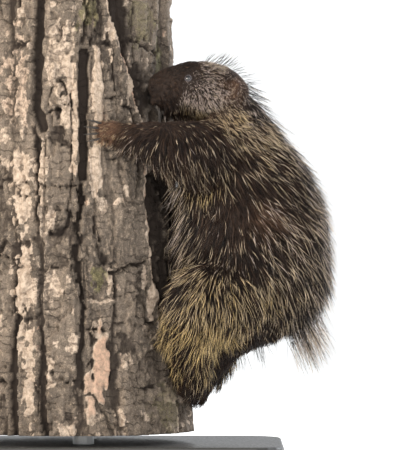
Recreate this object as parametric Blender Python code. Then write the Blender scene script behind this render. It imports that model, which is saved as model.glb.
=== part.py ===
"""A North American porcupine clinging to a cut length of cottonwood trunk, on a plain display stand.

Life size, in metres, +Z up. The origin is the centre of the stand's underside. The animal's middle plane
stands FACING degrees towards -Y from +X, seen from the trunk's axis, and it is drawn in (out, left, up):
out is the distance from the trunk's axis, left is towards the animal's left side.
"""

import math
import random
from collections import namedtuple

import bmesh
import bpy
from mathutils import Matrix, Vector
from mathutils.bvhtree import BVHTree

GAP = 0.0003
BARK_GAP = 0.0004
DOWN = Vector((0, 0, -1))

# The trunk and the stand
TRUNK_X = -0.060
TRUNK_BOTTOM = 0.034
TRUNK_TOP = 0.696
TRUNK_FOOT_RADIUS = 0.182
TRUNK_TOP_RADIUS = 0.149
BARK_DEPTH = 0.011
# Furrows between the bark's ridges: degrees round the trunk at its foot and at its top, and their depth
FURROWS = (
    ((-121, -125), 0.010), ((-104, -107), 0.013), ((-83, -82), 0.013), ((-64, -73), 0.008),
    ((-24, -60), 0.013), ((4, -22), 0.010), ((28, 12), 0.012), ((54, 44), 0.010), ((80, 76), 0.013),
    ((106, 106), 0.010), ((132, 134), 0.012), ((158, 162), 0.010), ((184, 188), 0.013), ((212, 214), 0.011),
)
SUNKEN_RIDGE = 4
RIDGE_PROFILE = ((0.0, 0.0), (0.17, 0.80), (0.38, 1.0), (0.62, 0.96), (0.83, 0.78))
# Heights at which the ridges break across into plates, and the height of each break
BARK_BREAKS = (0.110, 0.205, 0.290, 0.415, 0.520, 0.615)
BREAK_HEIGHT = 0.007
BASE_SIZE = (0.520, 0.400, 0.018)
BASE_CORNER = 0.060
ROD_RADIUS = 0.016
ROD_OFFSET = 0.085

# The animal's place
FACING = math.radians(12)
OUT = Vector((math.cos(FACING), -math.sin(FACING), 0))
LEFT = Vector((-math.sin(FACING), -math.cos(FACING), 0))

# Depth over the flesh of the short fur on the face, and of the core under the long coat, which reaches
# at most half way to the locks' tips: at a node's first and last station
FACE_FUR = 0.002
CORE = {
    "torso": (0.010, 0.013), "neck": (0.008, 0.009), "head": (FACE_FUR, FACE_FUR), "foreleg": (0.008, 0.003),
    "hindleg": (0.010, 0.002), "tail": (0.006, 0.005),
}


def animal(out, left, up):
    """World point of a place given in the animal's own plane."""
    return Vector((TRUNK_X, 0, 0)) + out * OUT + left * LEFT + up * Vector((0, 0, 1))


# Flesh stations: centre (out, left, up), then half sizes to the back, to the belly and to each side
TORSO = [
    ((0.2448, 0.026, 0.480), 0.048, 0.050, 0.050),
    ((0.2580, 0.016, 0.4365), 0.076, 0.076, 0.068),
    ((0.2653, 0.007, 0.387), 0.092, 0.087, 0.082),
    ((0.2689, 0.002, 0.3315), 0.100, 0.093, 0.091),
    ((0.2715, 0.000, 0.279), 0.098, 0.092, 0.095),
    ((0.2746, 0.000, 0.234), 0.083, 0.079, 0.086),
    ((0.2791, 0.000, 0.201), 0.055, 0.052, 0.060),
]
TAIL = [
    ((0.2837, 0.000, 0.207), 0.043, 0.043, 0.044),
    ((0.2577, 0.000, 0.1845), 0.030, 0.030, 0.038),
    ((0.2331, 0.000, 0.1635), 0.0245, 0.026, 0.034),
    ((0.2120, 0.000, 0.138), 0.0225, 0.024, 0.031),
    ((0.2004, 0.000, 0.1125), 0.0185, 0.0185, 0.027),
    ((0.1965, 0.000, 0.093), 0.0135, 0.0135, 0.020),
]
FORELEG = [
    ((0.2480, 0.036, 0.456), 0.042, 0.042, 0.036),
    ((0.2120, 0.090, 0.4635), 0.036, 0.038, 0.034),
    ((0.1800, 0.120, 0.4725), 0.027, 0.029, 0.026),
    ((0.1480, 0.131, 0.4785), 0.020, 0.021, 0.019),
    ((0.1195, 0.1325, 0.4815), 0.0150, 0.0150, 0.0145),
]
HINDLEG = [
    ((0.2680, 0.040, 0.250), 0.058, 0.058, 0.052),
    ((0.2430, 0.078, 0.246), 0.053, 0.053, 0.048),
    ((0.2160, 0.102, 0.228), 0.040, 0.040, 0.038),
    ((0.2080, 0.096, 0.180), 0.030, 0.030, 0.029),
    ((0.2060, 0.078, 0.138), 0.0225, 0.0225, 0.0225),
    ((0.2000, 0.067, 0.112), 0.019, 0.019, 0.019),
]
# The neck and head are turned to the animal's left, so their centres are world (x, y, z)
NECK = [
    ((0.163, -0.0895, 0.533), 0.035, 0.042, 0.038),
    ((0.180, -0.0860, 0.512), 0.040, 0.047, 0.043),
    ((0.188, -0.0805, 0.488), 0.047, 0.052, 0.049),
    ((0.190, -0.0745, 0.462), 0.054, 0.054, 0.052),
]
HEAD = [
    ((0.0668, -0.1000, 0.5410), 0.0190, 0.0190, 0.0130),
    ((0.0735, -0.0996, 0.5445), 0.0270, 0.0300, 0.0190),
    ((0.0855, -0.0988, 0.5470), 0.0325, 0.0350, 0.0235),
    ((0.1020, -0.0975, 0.5490), 0.0365, 0.0365, 0.0270),
    ((0.1215, -0.0960, 0.5500), 0.0400, 0.0390, 0.0330),
    ((0.1425, -0.0940, 0.5475), 0.0405, 0.0420, 0.0375),
    ((0.1635, -0.0920, 0.5415), 0.0410, 0.0430, 0.0390),
    ((0.1800, -0.0905, 0.5290), 0.0370, 0.0410, 0.0380),
]


def clear_scene():
    for found in list(bpy.data.objects):
        bpy.data.objects.remove(found)


def material(name, colour, roughness, metallic=0.0):
    made = bpy.data.materials.new(name)
    made.use_nodes = True
    shader = made.node_tree.nodes["Principled BSDF"]
    shader.inputs["Base Color"].default_value = (*colour, 1.0)
    shader.inputs["Roughness"].default_value = roughness
    shader.inputs["Metallic"].default_value = metallic
    return made


def object_of(bm, name):
    """A scene object from a bmesh, with its faces pointing outwards."""
    bmesh.ops.recalc_face_normals(bm, faces=bm.faces[:])
    mesh = bpy.data.meshes.new(name)
    bm.to_mesh(mesh)
    bm.free()
    made = bpy.data.objects.new(name, mesh)
    bpy.context.scene.collection.objects.link(made)
    return made


def wrapped_grid(columns, rows, surface):
    """A closed bmesh: a grid whose columns run round and whose first and last rows each meet in a point."""
    bm = bmesh.new()
    bmesh.ops.create_grid(bm, x_segments=columns, y_segments=rows, size=1.0)
    bmesh.ops.triangulate(bm, faces=bm.faces[:], quad_method="FIXED")
    for vert in bm.verts:
        column = round((vert.co.x + 1) / 2 * columns) % columns
        row = round((vert.co.y + 1) / 2 * rows)
        vert.co = surface(column, row)
    bmesh.ops.remove_doubles(bm, verts=bm.verts[:], dist=1e-6)
    return bm


def smooth_between(values, place):
    """Catmull-Rom value of a list of vectors at a place counted in list steps."""
    last = len(values) - 1
    i = min(int(place), last - 1)
    t = place - i
    b, c = values[i], values[i + 1]
    a = values[i - 1] if i > 0 else 2 * b - c
    d = values[i + 2] if i + 2 <= last else 2 * c - b
    return 0.5 * ((2 * b) + (c - a) * t + (2 * a - 5 * b + 4 * c - d) * t**2 + (3 * b - 3 * c + d - a) * t**3)


class Loft:
    """A round body drawn through stations, with a rounded cap on each end."""

    def __init__(self, stations, sides, rings, towards_back, caps, in_world=False, coat=(0.0, 0.0), cap_rows=3):
        self.centres = [Vector(c) if in_world else animal(*c) for c, *_ in stations]
        self.halves = [Vector(h) for _, *h in stations]
        self.sides = sides
        self.rings = rings
        self.towards_back = towards_back
        self.caps = caps
        self.coat = coat
        self.cap_turns = [math.radians(90 - 70 * i / cap_rows) for i in range(cap_rows)]

    def section(self, place):
        """Centre, direction, back axis, side axis and half sizes at a place counted in stations."""
        last = len(self.centres) - 1
        step = 0.02
        centre = smooth_between(self.centres, place)
        before = smooth_between(self.centres, max(place - step, 0))
        after = smooth_between(self.centres, min(place + step, last))
        along = (after - before).normalized()
        back = (self.towards_back - self.towards_back.dot(along) * along).normalized()
        return centre, along, back, along.cross(back), smooth_between(self.halves, place)

    def row_places(self):
        """For each row: the place along the stations, the cap's share of radius and its offset."""
        last = len(self.centres) - 1
        start = [(0, math.cos(a), -math.sin(a)) for a in self.cap_turns]
        body = [(last * i / (self.rings - 1), 1, 0) for i in range(self.rings)]
        end = [(last, r, -o) for _, r, o in reversed(start)]
        return start + body + end

    def depth(self, place, grow):
        """Depth of the coat's core at a place, and what the surface is grown by over it."""
        share = place / (len(self.centres) - 1)
        return self.coat[0] + (self.coat[1] - self.coat[0]) * share + grow

    def point(self, place, angle, grow=0.0, share=1.0, offset=0.0):
        """A point on the surface: angle 0 is at the back, a quarter turn is at the side axis."""
        centre, along, back, side, (up, down, wide) = self.section(place)
        grow = self.depth(place, grow)
        cap = (self.caps[0] if offset < 0 else self.caps[1]) + grow
        tall = up if math.cos(angle) > 0 else down
        return (
            centre
            + along * offset * cap
            + back * math.cos(angle) * (tall + grow) * share
            + side * math.sin(angle) * (wide + grow) * share
        )

    def normal(self, place, angle, grow=0.0):
        last = len(self.centres) - 1
        step = 0.01
        round_it = self.point(place, angle + step, grow) - self.point(place, angle - step, grow)
        along = self.point(min(place + step, last), angle, grow) - self.point(max(place - step, 0), angle, grow)
        out = round_it.cross(along).normalized()
        return out if out.dot(self.point(place, angle, grow) - self.section(place)[0]) > 0 else -out

    def solid(self, name, grow=0.0):
        rows = self.row_places()

        def surface(column, row):
            place, share, offset = rows[row]
            return self.point(place, 2 * math.pi * column / self.sides, grow, share, offset)

        return object_of(wrapped_grid(self.sides, len(rows) - 1, surface), name)


def apply_modifiers(target):
    """Replaces the object's mesh by the one its modifiers make."""
    graph = bpy.context.evaluated_depsgraph_get()
    made = bpy.data.meshes.new_from_object(target.evaluated_get(graph))
    target.modifiers.clear()
    target.data = made
    return target


def keep_largest(target):
    """Keeps the largest closed surface of a mesh, by volume."""
    bm = bmesh.new()
    bm.from_mesh(target.data)
    bm.verts.ensure_lookup_table()
    left = set(bm.verts)
    bodies = []
    while left:
        seed = left.pop()
        body = {seed}
        edge = [seed]
        while edge:
            near = [e.other_vert(v) for v in edge for e in v.link_edges]
            edge = [v for v in set(near) if v in left]
            left.difference_update(edge)
            body.update(edge)
        bodies.append(body)

    def volume(body):
        faces = {f for v in body for f in v.link_faces}
        return abs(sum(
            f.verts[0].co.dot(f.verts[i].co.cross(f.verts[i + 1].co)) / 6
            for f in faces for i in range(1, len(f.verts) - 1)
        ))

    bodies.sort(key=volume, reverse=True)
    scraps = [v for body in bodies[1:] for v in body]
    if scraps:
        bmesh.ops.delete(bm, geom=scraps, context="VERTS")
    bmesh.ops.triangulate(bm, faces=bm.faces[:])
    bm.to_mesh(target.data)
    bm.free()


def combine(target, others, operation):
    """One Boolean of the target with a collection of closed meshes, which are then removed."""
    group = bpy.data.collections.new("pieces")
    bpy.context.scene.collection.children.link(group)
    for other in others:
        group.objects.link(other)
    change = target.modifiers.new(operation, "BOOLEAN")
    change.operation = operation
    change.solver = "MANIFOLD"
    change.operand_type = "COLLECTION"
    change.collection = group
    apply_modifiers(target)
    for other in others:
        bpy.data.objects.remove(other)
    bpy.data.collections.remove(group)
    return target


def cut_by(target, *cutters):
    """Cuts closed meshes out of the target and removes them."""
    combine(target, list(cutters), "DIFFERENCE")
    keep_largest(target)
    return target


# The trunk


def trunk_radius(height):
    """Radius of the trunk without its bark ridges: nearly straight, flaring towards the foot."""
    share = (height - TRUNK_BOTTOM) / (TRUNK_TOP - TRUNK_BOTTOM)
    return TRUNK_TOP_RADIUS + (TRUNK_FOOT_RADIUS - TRUNK_TOP_RADIUS) * max(1 - share, 0) ** 1.6


def furrow_at(index, share):
    """Angle and depth of a furrow at a share of the trunk's height, wandering a little as it climbs."""
    around, index = divmod(index, len(FURROWS))
    (foot, top), depth = FURROWS[index]
    wander = 1.8 * math.sin(5.1 * share + 1.7 * index) + 0.8 * math.sin(11 * share + 2.9 * index)
    turn = foot + (top - foot) * share + wander + 360 * around
    return math.radians(turn), depth * (0.80 + 0.20 * math.sin(7 * share + 2.3 * index))


def plate_rise(ridge, plate, share):
    """How far a plate of a ridge rises, as a share of the bark's depth."""
    rise = 1.0 - 0.14 * ((7 * ridge + 5 * plate) % 4)
    return rise - 0.45 if ridge % len(FURROWS) == SUNKEN_RIDGE and share > 0.25 else rise


def trunk(name, grow=0.0):
    """The cut length of trunk: bark ridges with furrows between them, broken across into plates."""
    per_ridge = len(RIDGE_PROFILE)
    columns = len(FURROWS) * per_ridge
    levels = [(TRUNK_BOTTOM - grow, 0)]
    for plate, height in enumerate(BARK_BREAKS):
        levels += [(height - BREAK_HEIGHT / 2, plate), (height + BREAK_HEIGHT / 2, plate + 1)]
    levels.append((TRUNK_TOP + grow, len(BARK_BREAKS)))
    last = len(levels) - 1

    def surface(column, row):
        if row in (0, last + 2):
            return Vector((TRUNK_X, 0, levels[0 if row == 0 else last][0]))
        level = min(max(row - 1, 0), last)
        height, plate = levels[level]
        share = (height - TRUNK_BOTTOM) / (TRUNK_TOP - TRUNK_BOTTOM)
        ridge = column // per_ridge
        across, rise = RIDGE_PROFILE[column % per_ridge]
        turn, depth = furrow_at(ridge, share)
        next_turn, _ = furrow_at(ridge + 1, share)
        angle = turn + (next_turn - turn) * across
        if 0 < level < last:
            height += 0.010 * math.sin(3 * angle + (level + 1) // 2)
        relief = BARK_DEPTH * (rise * plate_rise(ridge, plate, share) - 0.55) if rise else -depth
        radius = trunk_radius(height) + relief + grow
        return Vector((TRUNK_X + radius * math.cos(angle), radius * math.sin(angle), height))

    bm = wrapped_grid(columns, last + 2, surface)
    return object_of(bm, name)


def stand():
    """A flat base with rounded corners, and two short rods up to the trunk."""
    length, width, thick = BASE_SIZE
    bm = bmesh.new()
    bmesh.ops.create_cube(bm, size=1.0)
    bmesh.ops.transform(bm, matrix=Matrix.Diagonal((length, width, thick, 1)), verts=bm.verts[:])
    bmesh.ops.translate(bm, vec=(0, 0, thick / 2), verts=bm.verts[:])
    corners = [e for e in bm.edges if abs(e.verts[0].co.z - e.verts[1].co.z) > thick / 2]
    bmesh.ops.bevel(bm, geom=corners, offset=BASE_CORNER, segments=5, profile=0.5, affect="EDGES", material=-1)
    rim = [e for e in bm.edges if e.verts[0].co.z > thick * 0.9 and e.verts[1].co.z > thick * 0.9]
    bmesh.ops.bevel(bm, geom=rim, offset=0.004, segments=2, profile=0.5, affect="EDGES", material=-1)
    nodes = {"stand_base": object_of(bm, "stand_base")}
    for name, side in (("stand_rod_left", -1), ("stand_rod_right", 1)):
        bm = bmesh.new()
        low, high = thick + GAP, TRUNK_BOTTOM - GAP
        bmesh.ops.create_cone(
            bm, cap_ends=True, segments=16, radius1=ROD_RADIUS, radius2=ROD_RADIUS, depth=high - low,
            matrix=Matrix.Translation((TRUNK_X + 0.02, side * ROD_OFFSET, (low + high) / 2)),
        )
        nodes[name] = object_of(bm, name)
    return nodes


# The feet


def on_bark(turn, lift, up):
    """World point over the ridges of the bark: turn is measured from the animal's middle plane to its left."""
    radius = trunk_radius(up) + 0.45 * BARK_DEPTH + lift
    return animal(radius * math.cos(turn), radius * math.sin(turn), up)


def bark_path(start, heading, length, lifts, side):
    """Points along the bark from start (turn, up): heading 0 runs round the trunk, a quarter turn runs up it."""
    turn, up = start
    radius = trunk_radius(up)
    points = []
    for i, lift in enumerate(lifts):
        run = length * i / (len(lifts) - 1)
        at = turn + run * math.cos(heading) / radius
        points.append(on_bark(side * at, lift, up + run * math.sin(heading)))
    return points


def away_from_trunk(point):
    return Vector((point.x - TRUNK_X, point.y, 0)).normalized()


# Plans of the feet: the sole's stations (turn in degrees, height), lift off the bark and half width, then
# where each toe starts and its heading
FOREFOOT = {
    "sole": [((48, 0.4825), 0.0165, 0.0125), ((52.5, 0.4845), 0.0120, 0.0135), ((56, 0.4855), 0.0100, 0.0145)],
    "toes": [((56, 0.4930), 17), ((57.2, 0.4882), 7), ((57.2, 0.4832), -4), ((56, 0.4785), -14)],
    "toe_length": 0.013,
    "toe_radius": 0.0050,
    "claw_length": 0.021,
}
HINDFOOT = {
    "sole": [
        ((17, 0.100), 0.0170, 0.0150), ((17.5, 0.128), 0.0160, 0.0165),
        ((19, 0.152), 0.0125, 0.0190), ((20, 0.168), 0.0105, 0.0200),
    ],
    "toes": [
        ((15.2, 0.168), 128), ((17.3, 0.174), 107), ((20, 0.176), 90), ((22.7, 0.174), 73), ((24.9, 0.168), 54),
    ],
    "toe_length": 0.014,
    "toe_radius": 0.0055,
    "claw_length": 0.018,
}
CLAW_RADIUS = 0.0027


def foot_loft(plan, side, raised):
    stations = [
        (on_bark(side * math.radians(turn), lift, up + raised), lift * 0.86, lift * 0.86, wide)
        for (turn, up), lift, wide in plan["sole"]
    ]
    back = away_from_trunk(Vector(stations[1][0]))
    return Loft(stations, 12, 5, back, (0.012, 0.006), in_world=True, cap_rows=2)


def toes_and_claws(plan, side, raised, grow=0.0):
    """Lofts of the toes and of the claws of one foot."""
    toes, claws = [], []
    radius = plan["toe_radius"]
    for (turn, up), heading in plan["toes"]:
        start = (math.radians(turn), up + raised)
        heading = math.radians(heading)
        run = plan["toe_length"]
        path = bark_path(start, heading, run, (radius * 1.3, radius * 1.25, radius * 1.1), side)
        back = away_from_trunk(path[1])
        toes.append(Loft(
            [(p, radius, radius, radius * 0.95) for p in path], 6, 2, back, (radius, radius),
            in_world=True, cap_rows=1,
        ))
        turn = start[0] + run * math.cos(heading) / trunk_radius(start[1])
        root = (turn, start[1] + run * math.sin(heading))
        lifts = (radius * 1.35, radius * 1.75, radius * 1.45, 0.0012)
        path = bark_path(root, heading, plan["claw_length"], lifts, side)
        sizes = (1.0, 0.9, 0.62, 0.24)
        claws.append(Loft(
            [(p, CLAW_RADIUS * s * 1.15, CLAW_RADIUS * s, CLAW_RADIUS * s * 0.8) for p, s in zip(path, sizes)],
            4, 3, back, (0.002, 0.0008), in_world=True, cap_rows=1,
        ))
    return toes, claws


def foot(name, plan, side, raised, grow=0.0):
    """A foot with its toes, as one solid."""
    toes, _ = toes_and_claws(plan, side, raised)
    made = foot_loft(plan, side, raised).solid(name, grow)
    pieces = [toe.solid(f"{name}_toe", grow) for toe in toes]
    combine(made, pieces, "UNION")
    keep_largest(made)
    return made


# The head


EYE_RADIUS = 0.0062
EYE_PLACE = (0.1155, 0.5650)
EYE_SHOWS = 0.0021
EAR_PLACE = (0.1690, 0.5500)
EAR_SIZE = (0.0150, 0.0085, 0.0180)
NOSTRIL_SIZE = (0.0042, 0.0022, 0.0030)
MOUTH_HEIGHT = 0.5265
MOUTH_DEPTH = 0.0035
MOUTH_WIDTH = 0.0016


def ball(name, centre, sizes, columns=12, rows=8, turn=None):
    bm = bmesh.new()
    bmesh.ops.create_uvsphere(bm, u_segments=columns, v_segments=rows, radius=1.0)
    matrix = Matrix.Translation(centre) @ (turn or Matrix.Identity(4)) @ Matrix.Diagonal((*sizes, 1))
    bmesh.ops.transform(bm, matrix=matrix, verts=bm.verts[:])
    return object_of(bm, name)


def head_loft():
    return Loft(HEAD, 22, 14, Vector((0, 0, 1)), (0.006, 0.017), in_world=True, coat=(FACE_FUR, FACE_FUR))


def on_head(skull, x, z, side):
    """Surface point and outward direction on one side of the head, at a height and a place along it."""
    last = len(HEAD) - 1
    best = None
    for i in range(120):
        place = last * i / 119
        centre, _, _, _, (up, down, wide) = skull.section(place)
        if best is None or abs(centre.x - x) < abs(best[0].x - x):
            best = (centre, place, up, down)
    centre, place, up, down = best
    tall = up if z > centre.z else down
    angle = math.acos(max(-1, min(1, (z - centre.z) / tall))) * side
    return skull.point(place, angle), skull.normal(place, angle)


def head_and_senses():
    """The head with its sockets, lids, nostrils, mouth and lips, and the eyes and ears set in it."""
    skull = head_loft()
    head = skull.solid("head")
    nodes = {"head": head}
    adds, cuts = [], []
    for name, side in (("left", 1), ("right", -1)):
        at, out = on_head(skull, *EYE_PLACE, side)
        centre = at - out * (EYE_RADIUS - EYE_SHOWS)
        lid_turn = out.to_track_quat("Z", "X").to_matrix().to_4x4()
        adds.append(ball(f"lids_{name}", at - out * 0.0052, (0.0105, 0.0090, 0.0074), 10, 6, lid_turn))
        cuts.append(ball(f"socket_{name}", centre, (EYE_RADIUS + GAP,) * 3, 10, 6))
        opening = ball(f"opening_{name}", at + out * 0.0025, (0.0052, 0.0045, 0.0060), 8, 5, lid_turn)
        cuts.append(opening)
        nodes[f"eye_{name}"] = ball(f"eye_{name}", centre, (EYE_RADIUS,) * 3, 10, 6)
        nostril = skull.point(0.35, side * math.radians(62))
        cuts.append(ball(f"nostril_{name}", nostril, NOSTRIL_SIZE, 6, 4))
    combine(head, adds, "UNION")
    nose_x = HEAD[0][0][0]
    bm = bmesh.new()
    bmesh.ops.create_cube(bm, size=1.0)
    bmesh.ops.transform(bm, matrix=Matrix.Diagonal((0.062, 0.070, MOUTH_WIDTH, 1)), verts=bm.verts[:])
    bmesh.ops.rotate(bm, matrix=Matrix.Rotation(math.radians(-7), 3, "Y"), verts=bm.verts[:])
    bmesh.ops.translate(bm, vec=(nose_x + 0.008, HEAD[1][0][1], MOUTH_HEIGHT), verts=bm.verts[:])
    groove = object_of(bm, "mouth_groove")
    inner = skull.solid("mouth_inner", -MOUTH_DEPTH)
    combine(groove, [inner], "DIFFERENCE")
    cuts.append(groove)
    cut_by(head, *cuts)
    return nodes


def ear(name, side, skull, grow=0.0):
    """The cup of an ear: a rounded shell, hollow in front."""
    at, out = on_head(skull, *EAR_PLACE, side)
    facing = (out + Vector((-0.55, 0, 0.25))).normalized()
    turn = facing.to_track_quat("Y", "Z").to_matrix().to_4x4()
    centre = at + out * 0.0045
    made = ball(name, centre, tuple(s + grow for s in EAR_SIZE), 12, 6, turn)
    if grow == 0:
        hollow = tuple(s * k for s, k in zip(EAR_SIZE, (0.74, 0.80, 0.74)))
        cut_by(made, ball(f"{name}_hollow", centre + facing * 0.0050, hollow, 10, 6, turn))
    return made


# The coat


Coat = namedtuple("Coat", "ends rows angles spacing length width tip lie straight bands")
# Where a coat's locks grow: first and last place along the stations, number of rows, angles from the back,
# and spacing round the body. Each lock's length, width and height of its tip over the core, its lie as
# shares along the node, straight down and towards the belly, how straight it stays, and its bands of faces
COATS = {
    "tail": [Coat((0.6, 4.4), 4, (0, 125), 0.030, 0.056, 0.025, 0.010, (1.0, 0.3, 0.0), 0.5, 2)],
    "hindleg": [
        Coat((0.9, 3.9), 5, (0, 160), 0.036, 0.066, 0.031, 0.012, (0.7, 1.0, 0.0), 0.6, 2),
    ],
    "torso": [
        Coat((0.5, 4.6), 6, (0, 120), 0.039, 0.086, 0.036, 0.019, (1.0, 0.3, 0.25), 0.2, 3),
        Coat((2.9, 4.6), 3, (0, 62), 0.042, 0.118, 0.031, 0.036, (1.0, 1.2, 0.0), 1.0, 3),
        Coat((5.3, 5.3), 1, (0, 110), 0.042, 0.062, 0.033, 0.014, (1.0, 0.6, 0.0), 0.5, 2),
        Coat((1.2, 3.3), 3, (104, 130), 0.045, 0.064, 0.034, 0.012, (0.5, 0.6, 1.0), 0.9, 2),
    ],
    "foreleg": [Coat((0.9, 3.5), 5, (30, 130), 0.037, 0.060, 0.030, 0.011, (0.3, 1.0, 0.0), 0.85, 2)],
    "neck": [Coat((0.3, 2.7), 3, (0, 150), 0.034, 0.064, 0.030, 0.014, (1.0, 0.2, 0.1), 0.3, 2)],
    "head": [Coat((4.6, 6.6), 3, (0, 150), 0.028, 0.042, 0.022, 0.008, (1.0, 0.1, 0.0), 0.3, 2)],
}
LOCK_SEED = 11
LOCK_SINK = 0.006
LOCK_KEEL = 0.15
LOCK_STEPS = 20
LOCK_RISE = 0.7
LOCK_SHAPES = {
    2: ((0.0, 0.80), (0.50, 1.0), (1.0, 0.0)),
    3: ((0.0, 0.80), (0.40, 1.0), (0.75, 0.66), (1.0, 0.0)),
}
# Shares of length, added heights and turns that a lock tries, until it is clear of the other nodes
LOCK_TRIES = (
    (1.0, 0.0, 0.0), (1.0, 0.005, 0.12), (0.92, 0.010, -0.12), (0.85, 0.006, 0.3), (0.8, 0.016, 0.0),
    (0.7, 0.010, -0.35), (0.6, 0.004, 0.2), (0.6, 0.018, 0.0),
)
LOCK_CLEAR = 0.0006
LOCK_VARIES = 0.12
LOCK_TURNS = 0.10
FACETS_OFF = 0.004


def tree_of(bm_or_object):
    """Search tree of a bmesh's or of an object's faces."""
    if isinstance(bm_or_object, bmesh.types.BMesh):
        return BVHTree.FromBMesh(bm_or_object)
    mesh = bm_or_object.data
    return BVHTree.FromPolygons([v.co for v in mesh.vertices], [p.vertices for p in mesh.polygons])


def tree_of_all(objects):
    """One search tree of many objects' faces, over which a lock runs from one node to the next."""
    points, faces = [], []
    for thing in objects:
        base = len(points)
        points += [v.co.copy() for v in thing.data.vertices]
        faces += [[base + i for i in p.vertices] for p in thing.data.polygons]
    return BVHTree.FromPolygons(points, faces)


def lock_path(skin, start, heading, length, tip, straight, shape):
    """Points, normals and directions of a lock that starts under the skin and rises over it to its tip."""
    at, way = start, heading
    nearest, normal, _, _ = skin.find_nearest(start)
    rows = [(nearest - normal * LOCK_SINK, normal, way)]
    for i in range(1, LOCK_STEPS + 1):
        flat = (way - way.dot(normal) * normal).normalized()
        way = (flat * (1 - straight) + way * straight).normalized()
        at = at + way * length / LOCK_STEPS
        nearest, found, _, _ = skin.find_nearest(at)
        normal = normal.lerp(found, 0.3).normalized()
        height = (at - nearest).dot(found)
        lift = -LOCK_SINK + (tip + LOCK_SINK) * (i / LOCK_STEPS) ** LOCK_RISE
        push = 0.8 if height < lift else (1 - straight) * 0.5
        at = at + found * (lift - height) * push
        rows.append((at, normal, way))
    return [rows[round(share * LOCK_STEPS)] for share, _ in shape]


def lock_mesh(rows, width, shape, grow=0.0):
    """A flat tapered lock: a closed blade with a keel along its upper side."""
    def surface(column, row):
        at, normal, way = rows[max(row - 1, 0)]
        if row == 0:
            return at - way * (0.003 + grow) - normal * 0.001
        if row == len(rows):
            return at + way * grow * 3
        half = width * shape[row - 1][1] / 2
        side = way.cross(normal).normalized()
        if column == 2:
            return at + side.cross(way) * (half * 2 * LOCK_KEEL + grow)
        return at + side * (half + grow) * (1 if column == 0 else -1) - normal * grow

    bm = wrapped_grid(3, len(rows), surface)
    bmesh.ops.recalc_face_normals(bm, faces=bm.faces[:])
    return bm


def lock_roots(loft, coat, rng):
    """Places and angles of a coat's roots, in staggered rows from the far end of the node to its near one."""
    low, high = (math.radians(a) for a in coat.angles)
    for row in range(coat.rows):
        place = coat.ends[1] + (coat.ends[0] - coat.ends[1]) * row / max(coat.rows - 1, 1)
        _, _, _, _, halves = loft.section(place)
        arc = (sum(halves) / 3 + loft.depth(place, 0)) * (high - low)
        step = (high - low) / max(1, round(arc / coat.spacing))
        for side in (1, -1):
            angle = low + step * (0.5 if row % 2 else 0.0)
            while angle < high + 0.01:
                if side > 0 or angle > step * 0.4:
                    spread = step * rng.uniform(-LOCK_VARIES, LOCK_VARIES)
                    yield place + rng.uniform(-LOCK_VARIES, LOCK_VARIES) / coat.rows, side * (angle + spread)
                angle += step


def lock_heading(loft, coat, place, angle, normal):
    """Direction of the coat's lie at a root."""
    _, along, _, _, _ = loft.section(place)
    belly = (loft.point(place, angle + 0.02) - loft.point(place, angle - 0.02)).normalized()
    belly *= math.copysign(math.sin(abs(angle)), angle)
    heading = along * coat.lie[0] + DOWN * coat.lie[1] + belly * coat.lie[2]
    return (heading - heading.dot(normal) * normal * (1 - coat.straight * 0.5)).normalized()


def grow_locks(name, loft, core, skin, others, rng):
    """Locks of one node that stay clear of every other node, as objects, with their search trees."""
    locks, trees = [], []
    own = tree_of(core)
    outwards = LEFT * (1 if name.endswith("left") else -1)
    for coat in COATS[name.split("_")[0]]:
        shape = LOCK_SHAPES[coat.bands]
        for place, angle in lock_roots(loft, coat, rng):
            start = loft.point(place, angle)
            nearest, normal, _, away = own.find_nearest(start)
            if away > FACETS_OFF or min(tree.find_nearest(start)[3] for tree in others) < FACETS_OFF:
                continue
            if "leg" in name and normal.dot(outwards) < -0.3:
                continue
            heading = lock_heading(loft, coat, place, angle, normal)
            size = 1 + rng.uniform(-LOCK_VARIES, LOCK_VARIES)
            turn = rng.uniform(-LOCK_TURNS, LOCK_TURNS)
            for shorter, higher, yaw in LOCK_TRIES:
                way = Matrix.Rotation(yaw + turn, 3, normal) @ heading
                length = coat.length * size * shorter
                path = lock_path(skin, nearest, way, length, coat.tip * size + higher, coat.straight, shape)
                fat = lock_mesh(path, coat.width * size, shape, LOCK_CLEAR)
                tree = tree_of(fat)
                fat.free()
                if not any(other.overlap(tree) for other in others):
                    locks.append(object_of(lock_mesh(path, coat.width * size, shape), f"{name}_lock"))
                    trees.append(tree_of(locks[-1]))
                    break
    return locks, trees


MATERIALS = {
    "coat": ((0.055, 0.040, 0.031), 0.85),
    "face": ((0.045, 0.030, 0.024), 0.85),
    "foot": ((0.070, 0.040, 0.024), 0.8),
    "claw": ((0.018, 0.015, 0.013), 0.35),
    "eye": ((0.010, 0.008, 0.007), 0.08),
    "bark": ((0.235, 0.190, 0.150), 0.9),
    "stand": ((0.045, 0.042, 0.040), 0.45),
    "rod": ((0.250, 0.250, 0.250), 0.35),
}


def paint(nodes):
    made = {}
    for name, (colour, roughness) in MATERIALS.items():
        made[name] = material(name, colour, roughness, 0.9 if name == "rod" else 0.0)
    for name, node in nodes.items():
        node.data.materials.clear()
        first = name.split("_")[0]
        kind = {
            "head": "face", "ear": "face", "eye": "eye", "claw": "claw", "forefoot": "foot", "hindfoot": "foot",
            "perch": "bark",
        }.get(first, "coat")
        if name == "stand_base":
            kind = "stand"
        elif first == "stand":
            kind = "rod"
        node.data.materials.append(made[kind])


SIDES = (("left", 1), ("right", -1))
RAISED = {"foreleg": (0.0, 0.018), "hindleg": (0.0, 0.010)}


def limb_loft(stations, side, raised, sides, rings, back, caps, coat):
    """A limb, mirrored for the right side, its far end raised along the trunk."""
    last = len(stations) - 1
    moved = [
        ((c[0], c[1] * side, c[2] + raised * i / last), *halves) for i, (c, *halves) in enumerate(stations)
    ]
    return Loft(moved, sides, rings, back, caps, coat=coat)


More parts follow.
